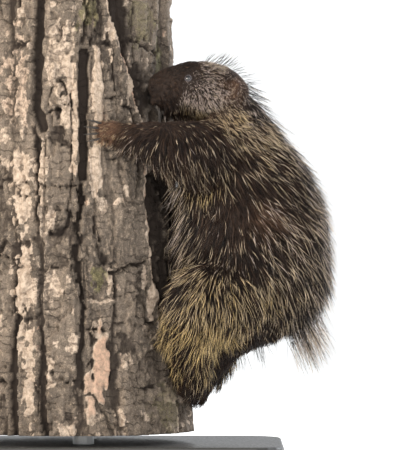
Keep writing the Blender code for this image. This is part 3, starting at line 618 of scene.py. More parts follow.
def seen_marks(turn, height, flake, relief, fresh_and_lit, warm, moss):
    """The bark with the ridge edges, furrows and patches that the camera sees, on its own side only, some of
    them pale with painted light.
    """
    x = TRUNK_X + trunk_radius(height) * np.cos(turn) * 1.02
    faces = eased(-np.sin(turn), 0.0, 0.12)
    bent_x = x + 0.0014 * soft_noise(x, height, (0.014, 0.020), 13) + 0.0028 * (flake[1] - 0.5)
    bent_z = height + 0.003 * soft_noise(x, height, (0.012, 0.012), 14) + 0.0035 * (flake[2] - 0.5)
    in_furrow = np.zeros(x.shape)
    for line, drop in STEPS:
        near, side = line_distance(bent_x, bent_z, line)
        fall = eased(near, 0.0, 0.0030) * (side > 0) * (1 - eased(near, 0.012, 0.050))
        relief = relief - drop * fall * faces
        lip = (1 - eased(near, 0.004, 0.012)) * (side <= 0) * faces
        relief = relief + (0.0030 - relief) * lip * 0.6
        # Painted highlight: the bark turns pale in a narrow strip along each ridge edge, as if light caught
        # it
        fresh_and_lit = np.maximum(fresh_and_lit, (1 - eased(near, 0.0018, 0.0055)) * faces * 0.62)
    for line, half, depth in FURROWS:
        near, _ = line_distance(bent_x, bent_z, line)
        half = half * (1.0 + 0.25 * soft_noise(x, height, (0.03, 0.035), 16))
        bank = (1 - eased(near, half * 1.2, half * 2.4)) * faces
        relief = relief + (0.0022 - relief) * bank * 0.5 * eased(near, half * 0.9, half * 1.2)
        cut = (1 - eased(near, half * 0.72, half * 1.10)) * faces
        relief = relief * (1 - cut) - depth * cut
        in_furrow = np.maximum(in_furrow, cut)
    for (px, pz), (sx, sz), how_fresh_and_lit, how_warm, how_mossy in PATCHES:
        whole = float(how_fresh_and_lit > WHOLE_FACE)
        inside = 1 - np.hypot((bent_x - px) / sx, (bent_z - pz) / sz)
        torn = inside + 0.30 * soft_noise(x, height, (0.006, 0.012), 15)
        torn = torn + (0.5 - 0.35 * whole) * (flake[0] - 0.6)
        here = eased(torn, 0.0, 0.35) * faces * (1 - in_furrow)
        fresh_and_lit = fresh_and_lit + (how_fresh_and_lit - fresh_and_lit) * here * (how_fresh_and_lit > 0)
        warm = warm + (how_warm - warm) * here
        moss = moss + (how_mossy - moss) * here
        relief = relief + 0.0010 * here * (how_fresh_and_lit > 0.8)
        relief = relief + (0.0012 - relief) * 0.75 * here * whole
    return relief, fresh_and_lit, warm, moss


def make_trunk():
    """The cut length of trunk with its ridges, furrows and sheets of bark, finer on the side that is seen."""
    columns = np.arange(BARK_COLUMNS) / BARK_COLUMNS * 2 * math.pi
    turns = columns - BARK_CROWDING * np.sin(columns - BARK_FINEST)
    levels = np.linspace(TRUNK_BOTTOM, TRUNK_TOP, BARK_ROWS + 1)
    turn, height = np.meshgrid(turns, levels)
    relief, depth, fresh_and_lit, warm, moss = bark_relief(turn, height)
    radius = trunk_radius(height) + relief
    x = TRUNK_X + radius * np.cos(turn)
    y = radius * np.sin(turn)
    shares = [1 - (i + 1) / (CAP_ROWS + 1) for i in range(CAP_ROWS)]
    bm = bmesh.new()
    rows = BARK_ROWS + 2 * (CAP_ROWS + 1)
    bmesh.ops.create_grid(bm, x_segments=BARK_COLUMNS, y_segments=rows, size=1.0)
    for vert in bm.verts:
        column = round((vert.co.x + 1) / 2 * BARK_COLUMNS) % BARK_COLUMNS
        row = round((vert.co.y + 1) / 2 * rows) - CAP_ROWS - 1
        level = min(max(row, 0), BARK_ROWS)
        share = 1.0
        if row != level:
            inwards = level - row if row < 0 else row - BARK_ROWS
            share = shares[inwards - 1] if inwards <= CAP_ROWS else 0.0
        vert.co = (
            TRUNK_X + (x[level, column] - TRUNK_X) * share, y[level, column] * share, levels[level],
        )
    bmesh.ops.remove_doubles(bm, verts=bm.verts[:], dist=1e-6)
    bmesh.ops.recalc_face_normals(bm, faces=bm.faces[:])
    piece = object_of(bm, "bark_trunk")
    co = vert_array(piece.data)
    turn = np.arctan2(co[:, 1], co[:, 0] - TRUNK_X)
    _, depth, fresh_and_lit, warm, moss = bark_relief(turn, co[:, 2])
    for name, values in (("depth", depth), ("fresh_and_lit", fresh_and_lit), ("warm", warm), ("moss", moss)):
        set_attribute(piece.data, name, values)
    piece.data.materials.append(bark_material())
    piece.data.materials.append(end_grain_material())
    flat = [
        p.index for p in piece.data.polygons
        if abs(p.normal.z) > 0.9 and (p.center.z > TRUNK_TOP - 0.001 or p.center.z < TRUNK_BOTTOM + 0.001)
    ]
    piece.data.shade_smooth()
    for index in flat:
        piece.data.polygons[index].material_index = 1
        piece.data.polygons[index].use_smooth = False
    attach(piece, "root")
    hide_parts("perch_trunk")
    return piece


def bark_material():
    made, paint, shader = new_material("cottonwood_bark", 0.9)
    shader.inputs["Specular IOR Level"].default_value = 0.15
    depth = attribute(paint, "depth").outputs["Fac"]
    fresh_and_lit = attribute(paint, "fresh_and_lit").outputs["Fac"]
    warm = attribute(paint, "warm").outputs["Fac"]
    moss = attribute(paint, "moss").outputs["Fac"]
    broad = noise(paint, 16, 4, (1, 1, 0.5)).outputs["Fac"]
    blotch = noise(paint, 45, 4).outputs["Fac"]
    grain = noise(paint, 170, 6, (1, 1, 0.8), 0.72).outputs["Fac"]
    speck = noise(paint, 620, 3, (1, 1, 0.9), 0.75).outputs["Fac"]
    place = paint.nodes.new("ShaderNodeTexCoord")
    wrinkle = add_node(paint, "ShaderNodeTexWave", wave_type="BANDS", bands_direction="Z")
    settings = {"Scale": 24, "Distortion": 9, "Detail": 4, "Detail Scale": 1.3, "Detail Roughness": 0.6}
    for key, value in settings.items():
        wrinkle.inputs[key].default_value = value
    paint.links.new(place.outputs["Object"], wrinkle.inputs["Vector"])
    crack = spread(paint, wrinkle.outputs["Fac"], 0.14, 0.0)
    crack = maths(paint, "MULTIPLY", crack, spread(paint, blotch, 0.42, 0.60))
    outer = blend(paint, spread(paint, broad, 0.35, 0.65), (0.142, 0.115, 0.092), (0.255, 0.203, 0.158))
    outer = blend(paint, spread(paint, grain, 0.46, 0.68), outer, (0.405, 0.318, 0.238))
    outer = blend(paint, spread(paint, speck, 0.56, 0.36, 0, 0.65), outer, (0.068, 0.054, 0.043))
    outer = blend(paint, maths(paint, "MULTIPLY", crack, 0.6), outer, (0.045, 0.035, 0.029))
    face = blend(paint, spread(paint, warm, 0.3, 0.9), (0.64, 0.510, 0.398), (0.60, 0.385, 0.275))
    face = blend(paint, spread(paint, grain, 0.60, 0.40, 0, 0.75), face, (0.33, 0.245, 0.180))
    face = blend(paint, maths(paint, "MULTIPLY", crack, 0.3), face, (0.090, 0.064, 0.047))
    # Pale fresh wood, with the painted sunlight and edge highlights carried in the same mask, turns the bark
    # to the face colour
    fray = maths(paint, "ADD", fresh_and_lit, maths(paint, "MULTIPLY", grain, 0.9))
    colour = blend(paint, spread(paint, fray, 0.78, 1.10), outer, face)
    lichen = blend(paint, spread(paint, speck, 0.4, 0.6), (0.105, 0.100, 0.042), (0.24, 0.220, 0.085))
    mossy = maths(paint, "ADD", moss, maths(paint, "MULTIPLY", grain, 1.3))
    colour = blend(paint, spread(paint, mossy, 1.10, 1.65, 0, 0.60), colour, lichen)
    # Painted shade: the bark darkens towards the floors of its furrows and deep cracks
    colour = blend(paint, spread(paint, depth, 0.0, 0.80), (0.042, 0.032, 0.026), colour)
    paint.links.new(colour, shader.inputs["Base Color"])
    relief = maths(paint, "ADD", grain, maths(paint, "MULTIPLY", speck, 0.6))
    relief = maths(paint, "SUBTRACT", relief, maths(paint, "MULTIPLY", crack, 0.7))
    bump(paint, shader, relief, 0.0030, 1.0)
    return made


def end_grain_material():
    made, paint, shader = new_material("end_grain", 0.8)
    place = paint.nodes.new("ShaderNodeTexCoord")
    centred = paint.nodes.new("ShaderNodeMapping")
    centred.inputs["Location"].default_value = (-TRUNK_X, 0, 0)
    centred.inputs["Scale"].default_value = (1, 1, 0)
    rings = add_node(paint, "ShaderNodeTexWave", wave_type="RINGS", rings_direction="Z")
    rings.inputs["Scale"].default_value = 60
    rings.inputs["Distortion"].default_value = 1.4
    rings.inputs["Detail"].default_value = 3
    length = add_node(paint, "ShaderNodeVectorMath", operation="LENGTH")
    paint.links.new(place.outputs["Object"], centred.inputs["Vector"])
    paint.links.new(centred.outputs["Vector"], rings.inputs["Vector"])
    paint.links.new(centred.outputs["Vector"], length.inputs[0])
    wood = blend(paint, rings.outputs["Fac"], (0.50, 0.36, 0.23), (0.66, 0.51, 0.35))
    grain = noise(paint, 90, 5).outputs["Fac"]
    wood = blend(paint, spread(paint, grain, 0.55, 0.7, 0, 0.4), wood, (0.30, 0.20, 0.12))
    rind = spread(paint, length.outputs["Value"], 0.128, 0.134)
    colour = blend(paint, rind, wood, (0.13, 0.085, 0.055))
    paint.links.new(colour, shader.inputs["Base Color"])
    bump(paint, shader, rings.outputs["Fac"], 0.0005, 0.6)
    return made


# The feet and claws

# Each foot: its sole as stations (degrees round the trunk, height), lift off the bark and half width, its
# toes as roots and headings in degrees (0 runs round the trunk, 90 up it), and sizes in metres
FOREFOOT = {
    "sole": [
        ((48, 0.4825), 0.0165, 0.0125), ((52.5, 0.4845), 0.0120, 0.0135), ((56, 0.4855), 0.0100, 0.0145),
    ],
    "toes": [((56, 0.4930), 17), ((57.2, 0.4882), 7), ((57.2, 0.4832), -4), ((56, 0.4785), -14)],
    "toe_length": 0.013,
    "toe_radius": 0.0050,
    "claw_length": 0.021,
}
HINDFOOT = {
    "sole": [
        ((17, 0.100), 0.0170, 0.0150), ((17.5, 0.128), 0.0160, 0.0165),
        ((19, 0.152), 0.0125, 0.0190), ((20, 0.168), 0.0105, 0.0200),
    ],
    "toes": [
        ((15.2, 0.168), 128), ((17.3, 0.174), 107), ((20, 0.176), 90),
        ((22.7, 0.174), 73), ((24.9, 0.168), 54),
    ],
    "toe_length": 0.014,
    "toe_radius": 0.0055,
    "claw_length": 0.018,
}
CLAW_RADIUS = 0.0027


def on_bark(turn, lift, up):
    radius = float(trunk_radius(up)) + BARK_CREST + lift
    return animal(radius * math.cos(turn), radius * math.sin(turn), up)


def bark_path(start, heading, length, lifts, side):
    """Points along the bark from start (turn, up): heading 0 runs round it, a quarter turn runs up it."""
    turn, up = start
    radius = float(trunk_radius(up))
    points = []
    for i, lift in enumerate(lifts):
        run = length * i / (len(lifts) - 1)
        at = turn + run * math.cos(heading) / radius
        points.append(on_bark(side * at, lift, up + run * math.sin(heading)))
    return points


def away_from_trunk(point):
    return Vector((point.x - TRUNK_X, point.y, 0)).normalized()


def foot_loft(plan, side, raised):
    stations = [
        (on_bark(side * math.radians(turn), lift, up + raised), lift * 0.86, lift * 0.86, wide)
        for (turn, up), lift, wide in plan["sole"]
    ]
    return Loft(stations, away_from_trunk(stations[1][0]), (0.012, 0.006), in_world=True)


def toes_and_claws(plan, side, raised):
    """Lofts of the toes and of the claws of one foot, the claws hooked down on to the bark."""
    toes, claws = [], []
    radius = plan["toe_radius"]
    for (turn, up), heading in plan["toes"]:
        start = (math.radians(turn), up + raised)
        heading = math.radians(heading)
        run = plan["toe_length"]
        path = bark_path(start, heading, run, (radius * 1.3, radius * 1.25, radius * 1.1), side)
        back = away_from_trunk(path[1])
        stations = [(p, radius, radius, radius * 0.95) for p in path]
        toes.append(Loft(stations, back, (radius, radius), in_world=True))
        turn = start[0] + run * math.cos(heading) / float(trunk_radius(start[1]))
        root = (turn, start[1] + run * math.sin(heading))
        lifts = (radius * 1.15, radius * 1.75, radius * 1.45, 0.0012)
        path = bark_path(root, heading, plan["claw_length"], lifts, side)
        sizes = [CLAW_RADIUS * share for share in (1.0, 0.9, 0.62, 0.24)]
        stations = [(p, size * 1.15, size, size * 0.8) for p, size in zip(path, sizes)]
        claws.append(Loft(stations, back, (0.004, 0.0008), in_world=True))
    return toes, claws


def claw_material():
    made, paint, shader = new_material("dark_claw", 0.32)
    streak = noise(paint, 900, 3, (1, 1, 0.3)).outputs["Fac"]
    colour = blend(paint, spread(paint, streak, 0.35, 0.7), (0.010, 0.008, 0.007), (0.045, 0.035, 0.028))
    paint.links.new(colour, shader.inputs["Base Color"])
    bump(paint, shader, streak, 0.0003, 0.4)
    return made


def make_claws():
    horn = claw_material()
    for end, leg, plan in (("forefoot", "foreleg", FOREFOOT), ("hindfoot", "hindleg", HINDFOOT)):
        for name, side in SIDES:
            raised = RAISED[leg] if side < 0 else 0.0
            _, claws = toes_and_claws(plan, side, raised)
            for i, claw in enumerate(claws):
                node = f"claw_{end}_{name}_{i + 1}"
                piece = claw.solid(f"horn_{end}_{name}_{i + 1}", 12, 16)
                piece.data.shade_smooth()
                finish_piece(piece, horn, "claw", node)


# The skin

BODY_VOXEL = 0.0026
HEAD_VOXEL = 0.00115
EYE_RADIUS = 0.0062
EYE_PLACE = (0.1155, 0.5650)
EYE_SHOWS = 0.0021
# Round the middle of each eye: where the bare rim of the lids fades out, and where the first hairs root
LID_RIM = (0.0046, 0.0058)
FIRST_HAIRS = 0.0050
EAR_PLACE = (0.1690, 0.5500)
EAR_SIZE = (0.0150, 0.0085, 0.0180)
EAR_HOLLOW = (0.72, 0.80, 0.72)
LID_SIZE = (0.0108, 0.0092, 0.0076)
LID_SET_BACK = 0.0052
EYE_OPENING = (0.0042, 0.0034, 0.0060)
SOCKET_ROOM = 0.0002
NOSTRIL_PLACE = (0.35, math.radians(62))
MOUTH_HEIGHT = 0.5265
MOUTH_TILT = math.radians(-7)
MOUTH_DEPTH = 0.0035
HEAD_LOFT = Loft(HEAD, UP, (0.006, 0.017), in_world=True)


def limb(stations, side, raised, back, caps):
    """A leg, mirrored for the right side, its far end raised along the trunk."""
    last = len(stations) - 1
    moved = [
        ((c[0], c[1] * side, c[2] + raised * i / last), *halves) for i, (c, *halves) in enumerate(stations)
    ]
    return Loft(moved, back, caps)


def body_lofts():
    lofts = {
        "torso": Loft(TORSO, OUT, (0.020, 0.026)),
        "neck": Loft(NECK, Vector((0.4, 0, 1)).normalized(), (0.010, 0.020), in_world=True),
        "tail": Loft(TAIL, OUT, (0.02, 0.012)),
        "head": HEAD_LOFT,
    }
    for name, side in SIDES:
        fore = RAISED["foreleg"] if side < 0 else 0.0
        hind = RAISED["hindleg"] if side < 0 else 0.0
        lofts[f"foreleg_{name}"] = limb(FORELEG, side, fore, UP, (0.02, 0.008))
        lofts[f"hindleg_{name}"] = limb(HINDLEG, side, hind, OUT, (0.02, 0.010))
        lofts[f"forefoot_{name}"] = foot_loft(FOREFOOT, side, fore)
        lofts[f"hindfoot_{name}"] = foot_loft(HINDFOOT, side, hind)
    return lofts


def on_head(x, z, side):
    """Surface point and outward direction on one side of the head, at a place along it and a height."""
    last = len(HEAD) - 1
    best = min((last * i / 200 for i in range(201)), key=lambda p: abs(HEAD_LOFT.section(p)[0].x - x))
    centre, _, _, _, (up, down, _) = HEAD_LOFT.section(best)
    tall = up if z > centre.z else down
    angle = math.acos(max(-1, min(1, (z - centre.z) / tall))) * side
    return HEAD_LOFT.point(best, angle), HEAD_LOFT.normal(best, angle)


def off_eyes(points):
    """How far points lie from the nearer eye, measured across the way it looks."""
    nearest = np.full(len(points), 9.0)
    for _, out, centre in eye_frames().values():
        offset = points - np.array(centre)
        deep = offset @ np.array(out)
        across = np.sqrt(np.maximum((offset**2).sum(1) - deep**2, 0))
        nearest = np.minimum(nearest, np.where((deep > 0) & (deep < 0.02), across, 9.0))
    return nearest


def eye_frames():
    """For each side: the eye's place on the skin, the way it looks, and the ball's centre."""
    found = {}
    for name, side in SIDES:
        at, out = on_head(*EYE_PLACE, side)
        found[name] = (at, out, at - out * (EYE_RADIUS - EYE_SHOWS))
    return found


def eye_shapes(at, out, centre):
    """The lids to add round an eye, and the socket and the opening between the lids to cut."""
    turn = out.to_track_quat("Z", "X").to_matrix().to_4x4()
    lids = ball("lids", at - out * LID_SET_BACK, LID_SIZE, turn=turn)
    socket = ball("socket", centre, (EYE_RADIUS + SOCKET_ROOM,) * 3)
    opening = ball("opening", at + out * 0.0028, EYE_OPENING, turn=turn)
    return [lids], [socket, opening]


def nostril_shapes(side):
    rim_at = HEAD_LOFT.point(NOSTRIL_PLACE[0], side * NOSTRIL_PLACE[1])
    rim = ball("nostril_rim", rim_at, (0.0040, 0.0030, 0.0048))
    hole = ball("nostril", rim_at + Vector((-0.001, -side * 0.0012, -0.0004)), (0.0034, 0.0026, 0.0022))
    return [rim], [hole]


def ear_shapes(side):
    """A short round ear that leans forward, and its hollow."""
    at, out = on_head(*EAR_PLACE, side)
    facing = (out + Vector((-0.55, 0, 0.25))).normalized()
    turn = facing.to_track_quat("Y", "Z").to_matrix().to_4x4()
    middle = at + out * 0.0045
    hollow_size = tuple(size * share for size, share in zip(EAR_SIZE, EAR_HOLLOW))
    ear = ball("ear", middle, EAR_SIZE, turn=turn)
    return [ear], [ball("ear_hollow", middle + facing * 0.0050, hollow_size, turn=turn)]


def lip_shapes():
    """Two soft swellings under the nose."""
    front, middle = HEAD[0][0][0], HEAD[1][0][1]
    return [
        ball("lip", Vector((front + back, middle, MOUTH_HEIGHT + 0.0065)), (0.010, wide, tall))
        for back, wide, tall in ((0.004, 0.0135, 0.0075), (0.010, 0.0170, 0.0090))
    ]


def slab(name, sizes, place, tilt=0.0):
    bm = bmesh.new()
    bmesh.ops.create_cube(bm, size=1.0)
    bmesh.ops.transform(bm, matrix=Matrix.Diagonal((*sizes, 1)), verts=bm.verts[:])
    bmesh.ops.rotate(bm, matrix=Matrix.Rotation(tilt, 3, "Y"), verts=bm.verts[:])
    bmesh.ops.translate(bm, vec=place, verts=bm.verts[:])
    return object_of(bm, name)


def mouth_shapes():
    """The line of the mouth, cut only skin deep, and the cleft of the upper lip."""
    front, middle = HEAD[0][0][0], HEAD[1][0][1]
    groove = slab("mouth", (0.062, 0.070, 0.0022), (front + 0.008, middle, MOUTH_HEIGHT), MOUTH_TILT)
    combine(groove, [HEAD_LOFT.solid("inner", 48, 40, -MOUTH_DEPTH)], "DIFFERENCE")
    cleft = slab("lip_cleft", (0.016, 0.0016, 0.020), (front - 0.010, middle, MOUTH_HEIGHT + 0.009))
    return [groove, cleft]


def head_skin():
    """The head with its lids, sockets, nostrils, mouth, lips and ears, in a fine even skin."""
    head = HEAD_LOFT.solid("head_skin", 72, 60)
    adds, cuts = [], []
    for name, eye in eye_frames().items():
        side = dict(SIDES)[name]
        for more, less in (eye_shapes(*eye), nostril_shapes(side), ear_shapes(side)):
            adds += more
            cuts += less
    adds += lip_shapes()
    cuts += mouth_shapes()
    combine(head, adds, "UNION")
    combine(head, cuts, "DIFFERENCE")
    return remeshed(head, HEAD_VOXEL, 3)


def body_skin(lofts):
    pieces = [loft.solid(name, 48, 48) for name, loft in lofts.items() if name != "head"]
    for leg, plan in (("foreleg", FOREFOOT), ("hindleg", HINDFOOT)):
        for _, side in SIDES:
            toes, _ = toes_and_claws(plan, side, RAISED[leg] if side < 0 else 0.0)
            pieces += [toe.solid("toe", 16, 10) for toe in toes]
    body = pieces[0]
    with bpy.context.temp_override(active_object=body, selected_editable_objects=pieces):
        bpy.ops.object.join()
    return remeshed(body, BODY_VOXEL, 5)


def make_skin(lofts):
    """One skin over the whole animal, kept clear of the bark that it leans on."""
    skin = body_skin(lofts)
    skin.name = "hide"
    combine(skin, [head_skin()], "UNION")
    co = vert_array(skin.data)
    reach = np.hypot(co[:, 0] - TRUNK_X, co[:, 1])
    least = trunk_radius(co[:, 2]) + BARK_CREST + 0.0004
    push = np.maximum(least / np.maximum(reach, 1e-6), 1)
    co[:, 0] = TRUNK_X + (co[:, 0] - TRUNK_X) * push
    co[:, 1] *= push
    skin.data.vertices.foreach_set("co", co.astype(np.float32).ravel())
    skin.data.update()
    skin.data.shade_smooth()
    return skin


# The lie of the coat

Guide = namedtuple("Guide", "part x z flow length lift tips gold rust")
# What the coat does at places seen from the animal's left: where, the way it flows in degrees below the
# horizontal to the right, its length, its rise off the skin in degrees, its share of light tips, how golden
# they are, and how rusty the hairs are. Places and lengths are in millimetres
GUIDES = [Guide(*row) for row in (
    ("body", 180, 512, 32, 26, 18, 1.50, 0.60, 0.20),
    ("body", 157, 508, 46, 24, 18, 0.85, 0.55, 0.25),
    ("body", 128, 502, 74, 30, 16, 0.35, 0.40, 0.20),
    ("body", 225, 489, 17, 44, 18, 1.20, 0.55, 0.12),
    ("body", 285, 444, 19, 62, 20, 0.36, 0.40, 0.05),
    ("body", 285, 384, 26, 66, 20, 0.38, 0.35, 0.05),
    ("body", 240, 440, 26, 58, 18, 0.36, 0.40, 0.08),
    ("body", 240, 399, 40, 64, 18, 0.08, 0.35, 0.06),
    ("body", 195, 430, 44, 58, 16, 0.14, 0.45, 0.08),
    ("body", 157, 455, 56, 48, 16, 0.38, 0.50, 0.08),
    ("body", 145, 425, 84, 52, 16, 0.50, 0.85, 0.08),
    ("body", 195, 548, 40, 10, 4, 0.40, 0.20, 0.20),
    ("body", 210, 526, 40, 30, 4, 0.30, 0.05, 0.00),
    ("body", 238, 500, 38, 56, 10, 0.35, 0.10, 0.00),
    ("body", 262, 480, 36, 74, 24, 0.35, 0.15, 0.00),
    ("body", 300, 430, 38, 84, 32, 0.40, 0.15, 0.00),
    ("body", 318, 400, 42, 88, 36, 0.42, 0.15, 0.00),
    ("body", 333, 339, 56, 88, 32, 0.46, 0.10, 0.00),
    ("body", 335, 264, 64, 86, 26, 0.46, 0.15, 0.00),
    ("body", 190, 378, 74, 34, 12, 0.00, 0.20, 0.10),
    ("body", 165, 372, 100, 34, 12, 0.04, 0.20, 0.10),
    ("body", 225, 374, 28, 40, 32, 0.60, 0.10, 0.45),
    ("body", 105, 352, 146, 76, 32, 0.30, 0.40, 0.00),
    ("body", 75, 361, 142, 78, 34, 0.34, 0.15, 0.00),
    ("body", 135, 309, 125, 60, 20, 0.40, 0.45, 0.05),
    ("body", 180, 300, 100, 60, 16, 0.30, 0.35, 0.05),
    ("body", 217, 324, 56, 60, 18, 0.24, 0.30, 0.05),
    ("body", 255, 324, 43, 68, 20, 0.38, 0.35, 0.05),
    ("body", 292, 294, 50, 74, 24, 0.42, 0.35, 0.00),
    ("body", 225, 250, 78, 44, 12, 1.00, 0.75, 0.05),
    ("body", 265, 240, 62, 56, 14, 0.50, 0.45, 0.00),
    ("body", 300, 226, 60, 74, 16, 0.55, 0.40, 0.00),
    ("body", 285, 200, 62, 30, 8, 0.45, 0.35, 0.00),
    ("body", 235, 205, 74, 14, 8, 0.25, 0.40, 0.05),
    ("body", 70, 384, 132, 74, 34, 0.36, 0.05, 0.00),
    ("body", 60, 418, 124, 68, 34, 0.34, 0.05, 0.00),
    ("body", 90, 320, 134, 70, 28, 0.24, 0.20, 0.00),
    ("hindleg", 120, 204, 130, 48, 20, 0.90, 0.85, 0.05),
    ("hindleg", 97, 136, 114, 40, 18, 0.60, 0.90, 0.05),
    ("hindleg", 157, 212, 96, 60, 16, 1.60, 0.90, 0.05),
    ("hindleg", 157, 160, 94, 44, 14, 0.65, 0.85, 0.05),
    ("hindleg", 135, 249, 108, 58, 14, 1.20, 0.65, 0.05),
    ("hindleg", 110, 262, 116, 44, 12, 0.45, 0.50, 0.00),
    ("hindleg", 174, 250, 88, 60, 16, 1.10, 0.70, 0.05),
    ("hindleg", 205, 260, 74, 60, 16, 0.40, 0.60, 0.05),
    ("hindleg", 127, 106, 102, 34, 14, 0.25, 0.50, 0.05),
    ("foreleg", -3, 481, 132, 24, 20, 0.35, 0.60, 0.42),
    ("foreleg", 15, 470, 122, 34, 24, 0.40, 0.45, 0.20),
    ("foreleg", 37, 468, 110, 40, 24, 0.26, 0.20, 0.06),
    ("foreleg", 60, 460, 96, 46, 24, 0.24, 0.20, 0.04),
    ("foreleg", 82, 455, 80, 54, 20, 0.26, 0.40, 0.08),
    ("foreleg", 112, 455, 70, 54, 18, 0.30, 0.45, 0.08),
    ("foreleg", 60, 495, 168, 12, 10, 0.05, 0.30, 0.12),
    ("foreleg", 30, 492, 152, 14, 12, 0.08, 0.40, 0.22),
    ("foreleg", 100, 500, 60, 18, 12, 0.16, 0.40, 0.10),
    ("tail", 177, 166, 76, 12, 6, 0.04, 0.30, 0.10),
    ("tail", 157, 121, 106, 26, 10, 0.05, 0.30, 0.10),
    ("tail", 142, 91, 114, 22, 12, 0.08, 0.30, 0.10),
    ("tail", 202, 189, 70, 12, 6, 0.08, 0.30, 0.05),
    ("head", 66, 545, 20, 4.5, 12, 0.00, 0.00, 0.06),
    ("head", 80, 560, 12, 6, 14, 0.00, 0.00, 0.12),
    ("head", 82, 535, 40, 8, 14, 0.00, 0.00, 0.10),
    ("head", 97, 580, 0, 7, 14, 0.00, 0.00, 0.06),
    ("head", 100, 552, 50, 6.5, 14, 0.00, 0.00, 0.14),
    ("head", 118, 585, 4, 9, 18, 0.00, 0.00, 0.05),
    ("head", 116, 556, 70, 6, 16, 1.20, 0.00, 0.06),
    ("head", 142, 588, 14, 15, 18, 1.60, 0.20, 0.08),
    ("head", 160, 582, 34, 14, 12, 1.80, 0.25, 0.10),
    ("head", 140, 570, 20, 12, 18, 1.40, 0.05, 0.08),
    ("head", 131, 566, 30, 9, 14, 0.15, 0.00, 0.06),
    ("head", 135, 553, 44, 15, 22, 2.60, 0.02, 0.08),
    ("head", 120, 540, 92, 14, 24, 2.60, 0.00, 0.10),
    ("head", 135, 535, 70, 16, 24, 2.60, 0.02, 0.10),
    ("head", 155, 540, 45, 17, 22, 2.00, 0.10, 0.10),
    ("head", 110, 522, 84, 20, 24, 0.70, 0.60, 0.10),
    ("head", 78, 520, 84, 17, 10, 0.03, 0.00, 0.06),
    ("head", 92, 518, 84, 24, 12, 0.10, 0.20, 0.06),
    ("head", 130, 515, 62, 19, 24, 2.20, 0.75, 0.10),
    ("head", 175, 556, 40, 9, 10, 0.70, 0.20, 0.50),
    ("head", 176, 564, 60, 3.5, 10, 0.00, 0.00, 0.00),
    ("head", 170, 548, 48, 9, 26, 2.60, 0.00, 0.10),
    ("head", 185, 556, 50, 8, 10, 0.90, 0.10, 0.50),
    ("head", 186, 540, 56, 8, 6, 0.50, 0.30, 0.40),
    ("head", 178, 572, 52, 7, 4, 0.70, 0.10, 0.12),
    ("forefoot", -15, 488, 165, 9, 16, 0.60, 0.50, 0.62),
    ("forefoot", -8, 475, 126, 18, 22, 0.70, 0.55, 0.70),
    ("hindfoot", 108, 110, 250, 8, 14, 0.05, 0.30, 0.20),
    ("hindfoot", 100, 160, 262, 8, 14, 0.05, 0.30, 0.20),
)]
GUIDE_PARTS = ("body", "hindleg", "foreleg", "tail", "head", "forefoot", "hindfoot")
HEAD_GUIDES = GUIDE_PARTS.index("head")

# Each piece of the coat: its part, number of hairs, rings of each hair besides the tip, and width in mm
Growth = namedtuple("Growth", "part hairs rings width pieces")
GROWTHS = [
    Growth("torso", 41000, 3, 0.90, 4),
    Growth("neck", 9500, 3, 0.80, 1),
    Growth("head", 16000, 2, 0.70, 1),
    Growth("foreleg_left", 7500, 3, 0.70, 1),
    Growth("foreleg_right", 4000, 3, 0.95, 1),
    Growth("hindleg_left", 8500, 3, 0.85, 1),
    Growth("hindleg_right", 4500, 3, 1.05, 1),
    Growth("tail", 4500, 3, 0.80, 1),
    Growth("forefoot_left", 1100, 2, 0.55, 1),
    Growth("forefoot_right", 700, 2, 0.60, 1),
    Growth("hindfoot_left", 900, 2, 0.60, 1),
    Growth("hindfoot_right", 700, 2, 0.60, 1),
]
PATCH = 0.003
LIGHT_SHARE = 0.38
UNDERCOAT_SHARE = 0.22
# No hair reaches further out than this, so the coat ends where the solids' locks do
COAT_REACH = 0.345
# The dark mask of the face ends behind the eye, (x, z), and slants forward above and below it
MASK_MIDDLE = (0.114, 0.5655)


def part_shares(lofts, points):
    """For each loft: how much a point of the skin belongs to it, its place along it and its angle."""
    found = {name: loft.measure(points) for name, loft in lofts.items()}
    names = list(lofts)
    away = np.stack([np.abs(found[name][2]) for name in names], 1)
    share = np.exp(-away / 0.005)
    share /= share.sum(1, keepdims=True)
    return names, share, found


def guide_part(name):
    first = name.split("_")[0]
    return "body" if first in ("torso", "neck") else first


def combed(points, names, share):
    """Flow and the other values of the guides at points of the skin."""
    offset = points - np.array([TRUNK_X, 0, 0])
    out = offset @ np.array(OUT)
    left = np.abs(offset @ np.array(LEFT))
    seen_x = TRUNK_X + out * math.cos(FACING) - left * math.sin(FACING)
    owners = [[i for i, n in enumerate(names) if guide_part(n) == part] for part in GUIDE_PARTS]
    belongs = np.stack([share[:, own].sum(1) for own in owners], 1)
    x = seen_x * (1 - belongs[:, HEAD_GUIDES]) + points[:, 0] * belongs[:, HEAD_GUIDES]
    gx, gz = (np.array([getattr(g, key) for g in GUIDES]) / 1000 for key in ("x", "z"))
    of_part = np.array([GUIDE_PARTS.index(g.part) for g in GUIDES])
    near = ((x[:, None] - gx) ** 2 + (points[:, 2][:, None] - gz) ** 2 + 0.006**2) ** -1.7
    weight = near * (belongs[:, of_part] + 1e-4)
    weight /= weight.sum(1, keepdims=True)
    flow = np.radians([g.flow for g in GUIDES])
    values = np.array([[g.length / 1000, math.radians(g.lift), g.tips, g.gold, g.rust] for g in GUIDES])
    return weight @ np.cos(flow), weight @ -np.sin(flow), weight @ values, belongs


def unit(vectors):
    return vectors / np.maximum(np.linalg.norm(vectors, axis=-1, keepdims=True), 1e-9)


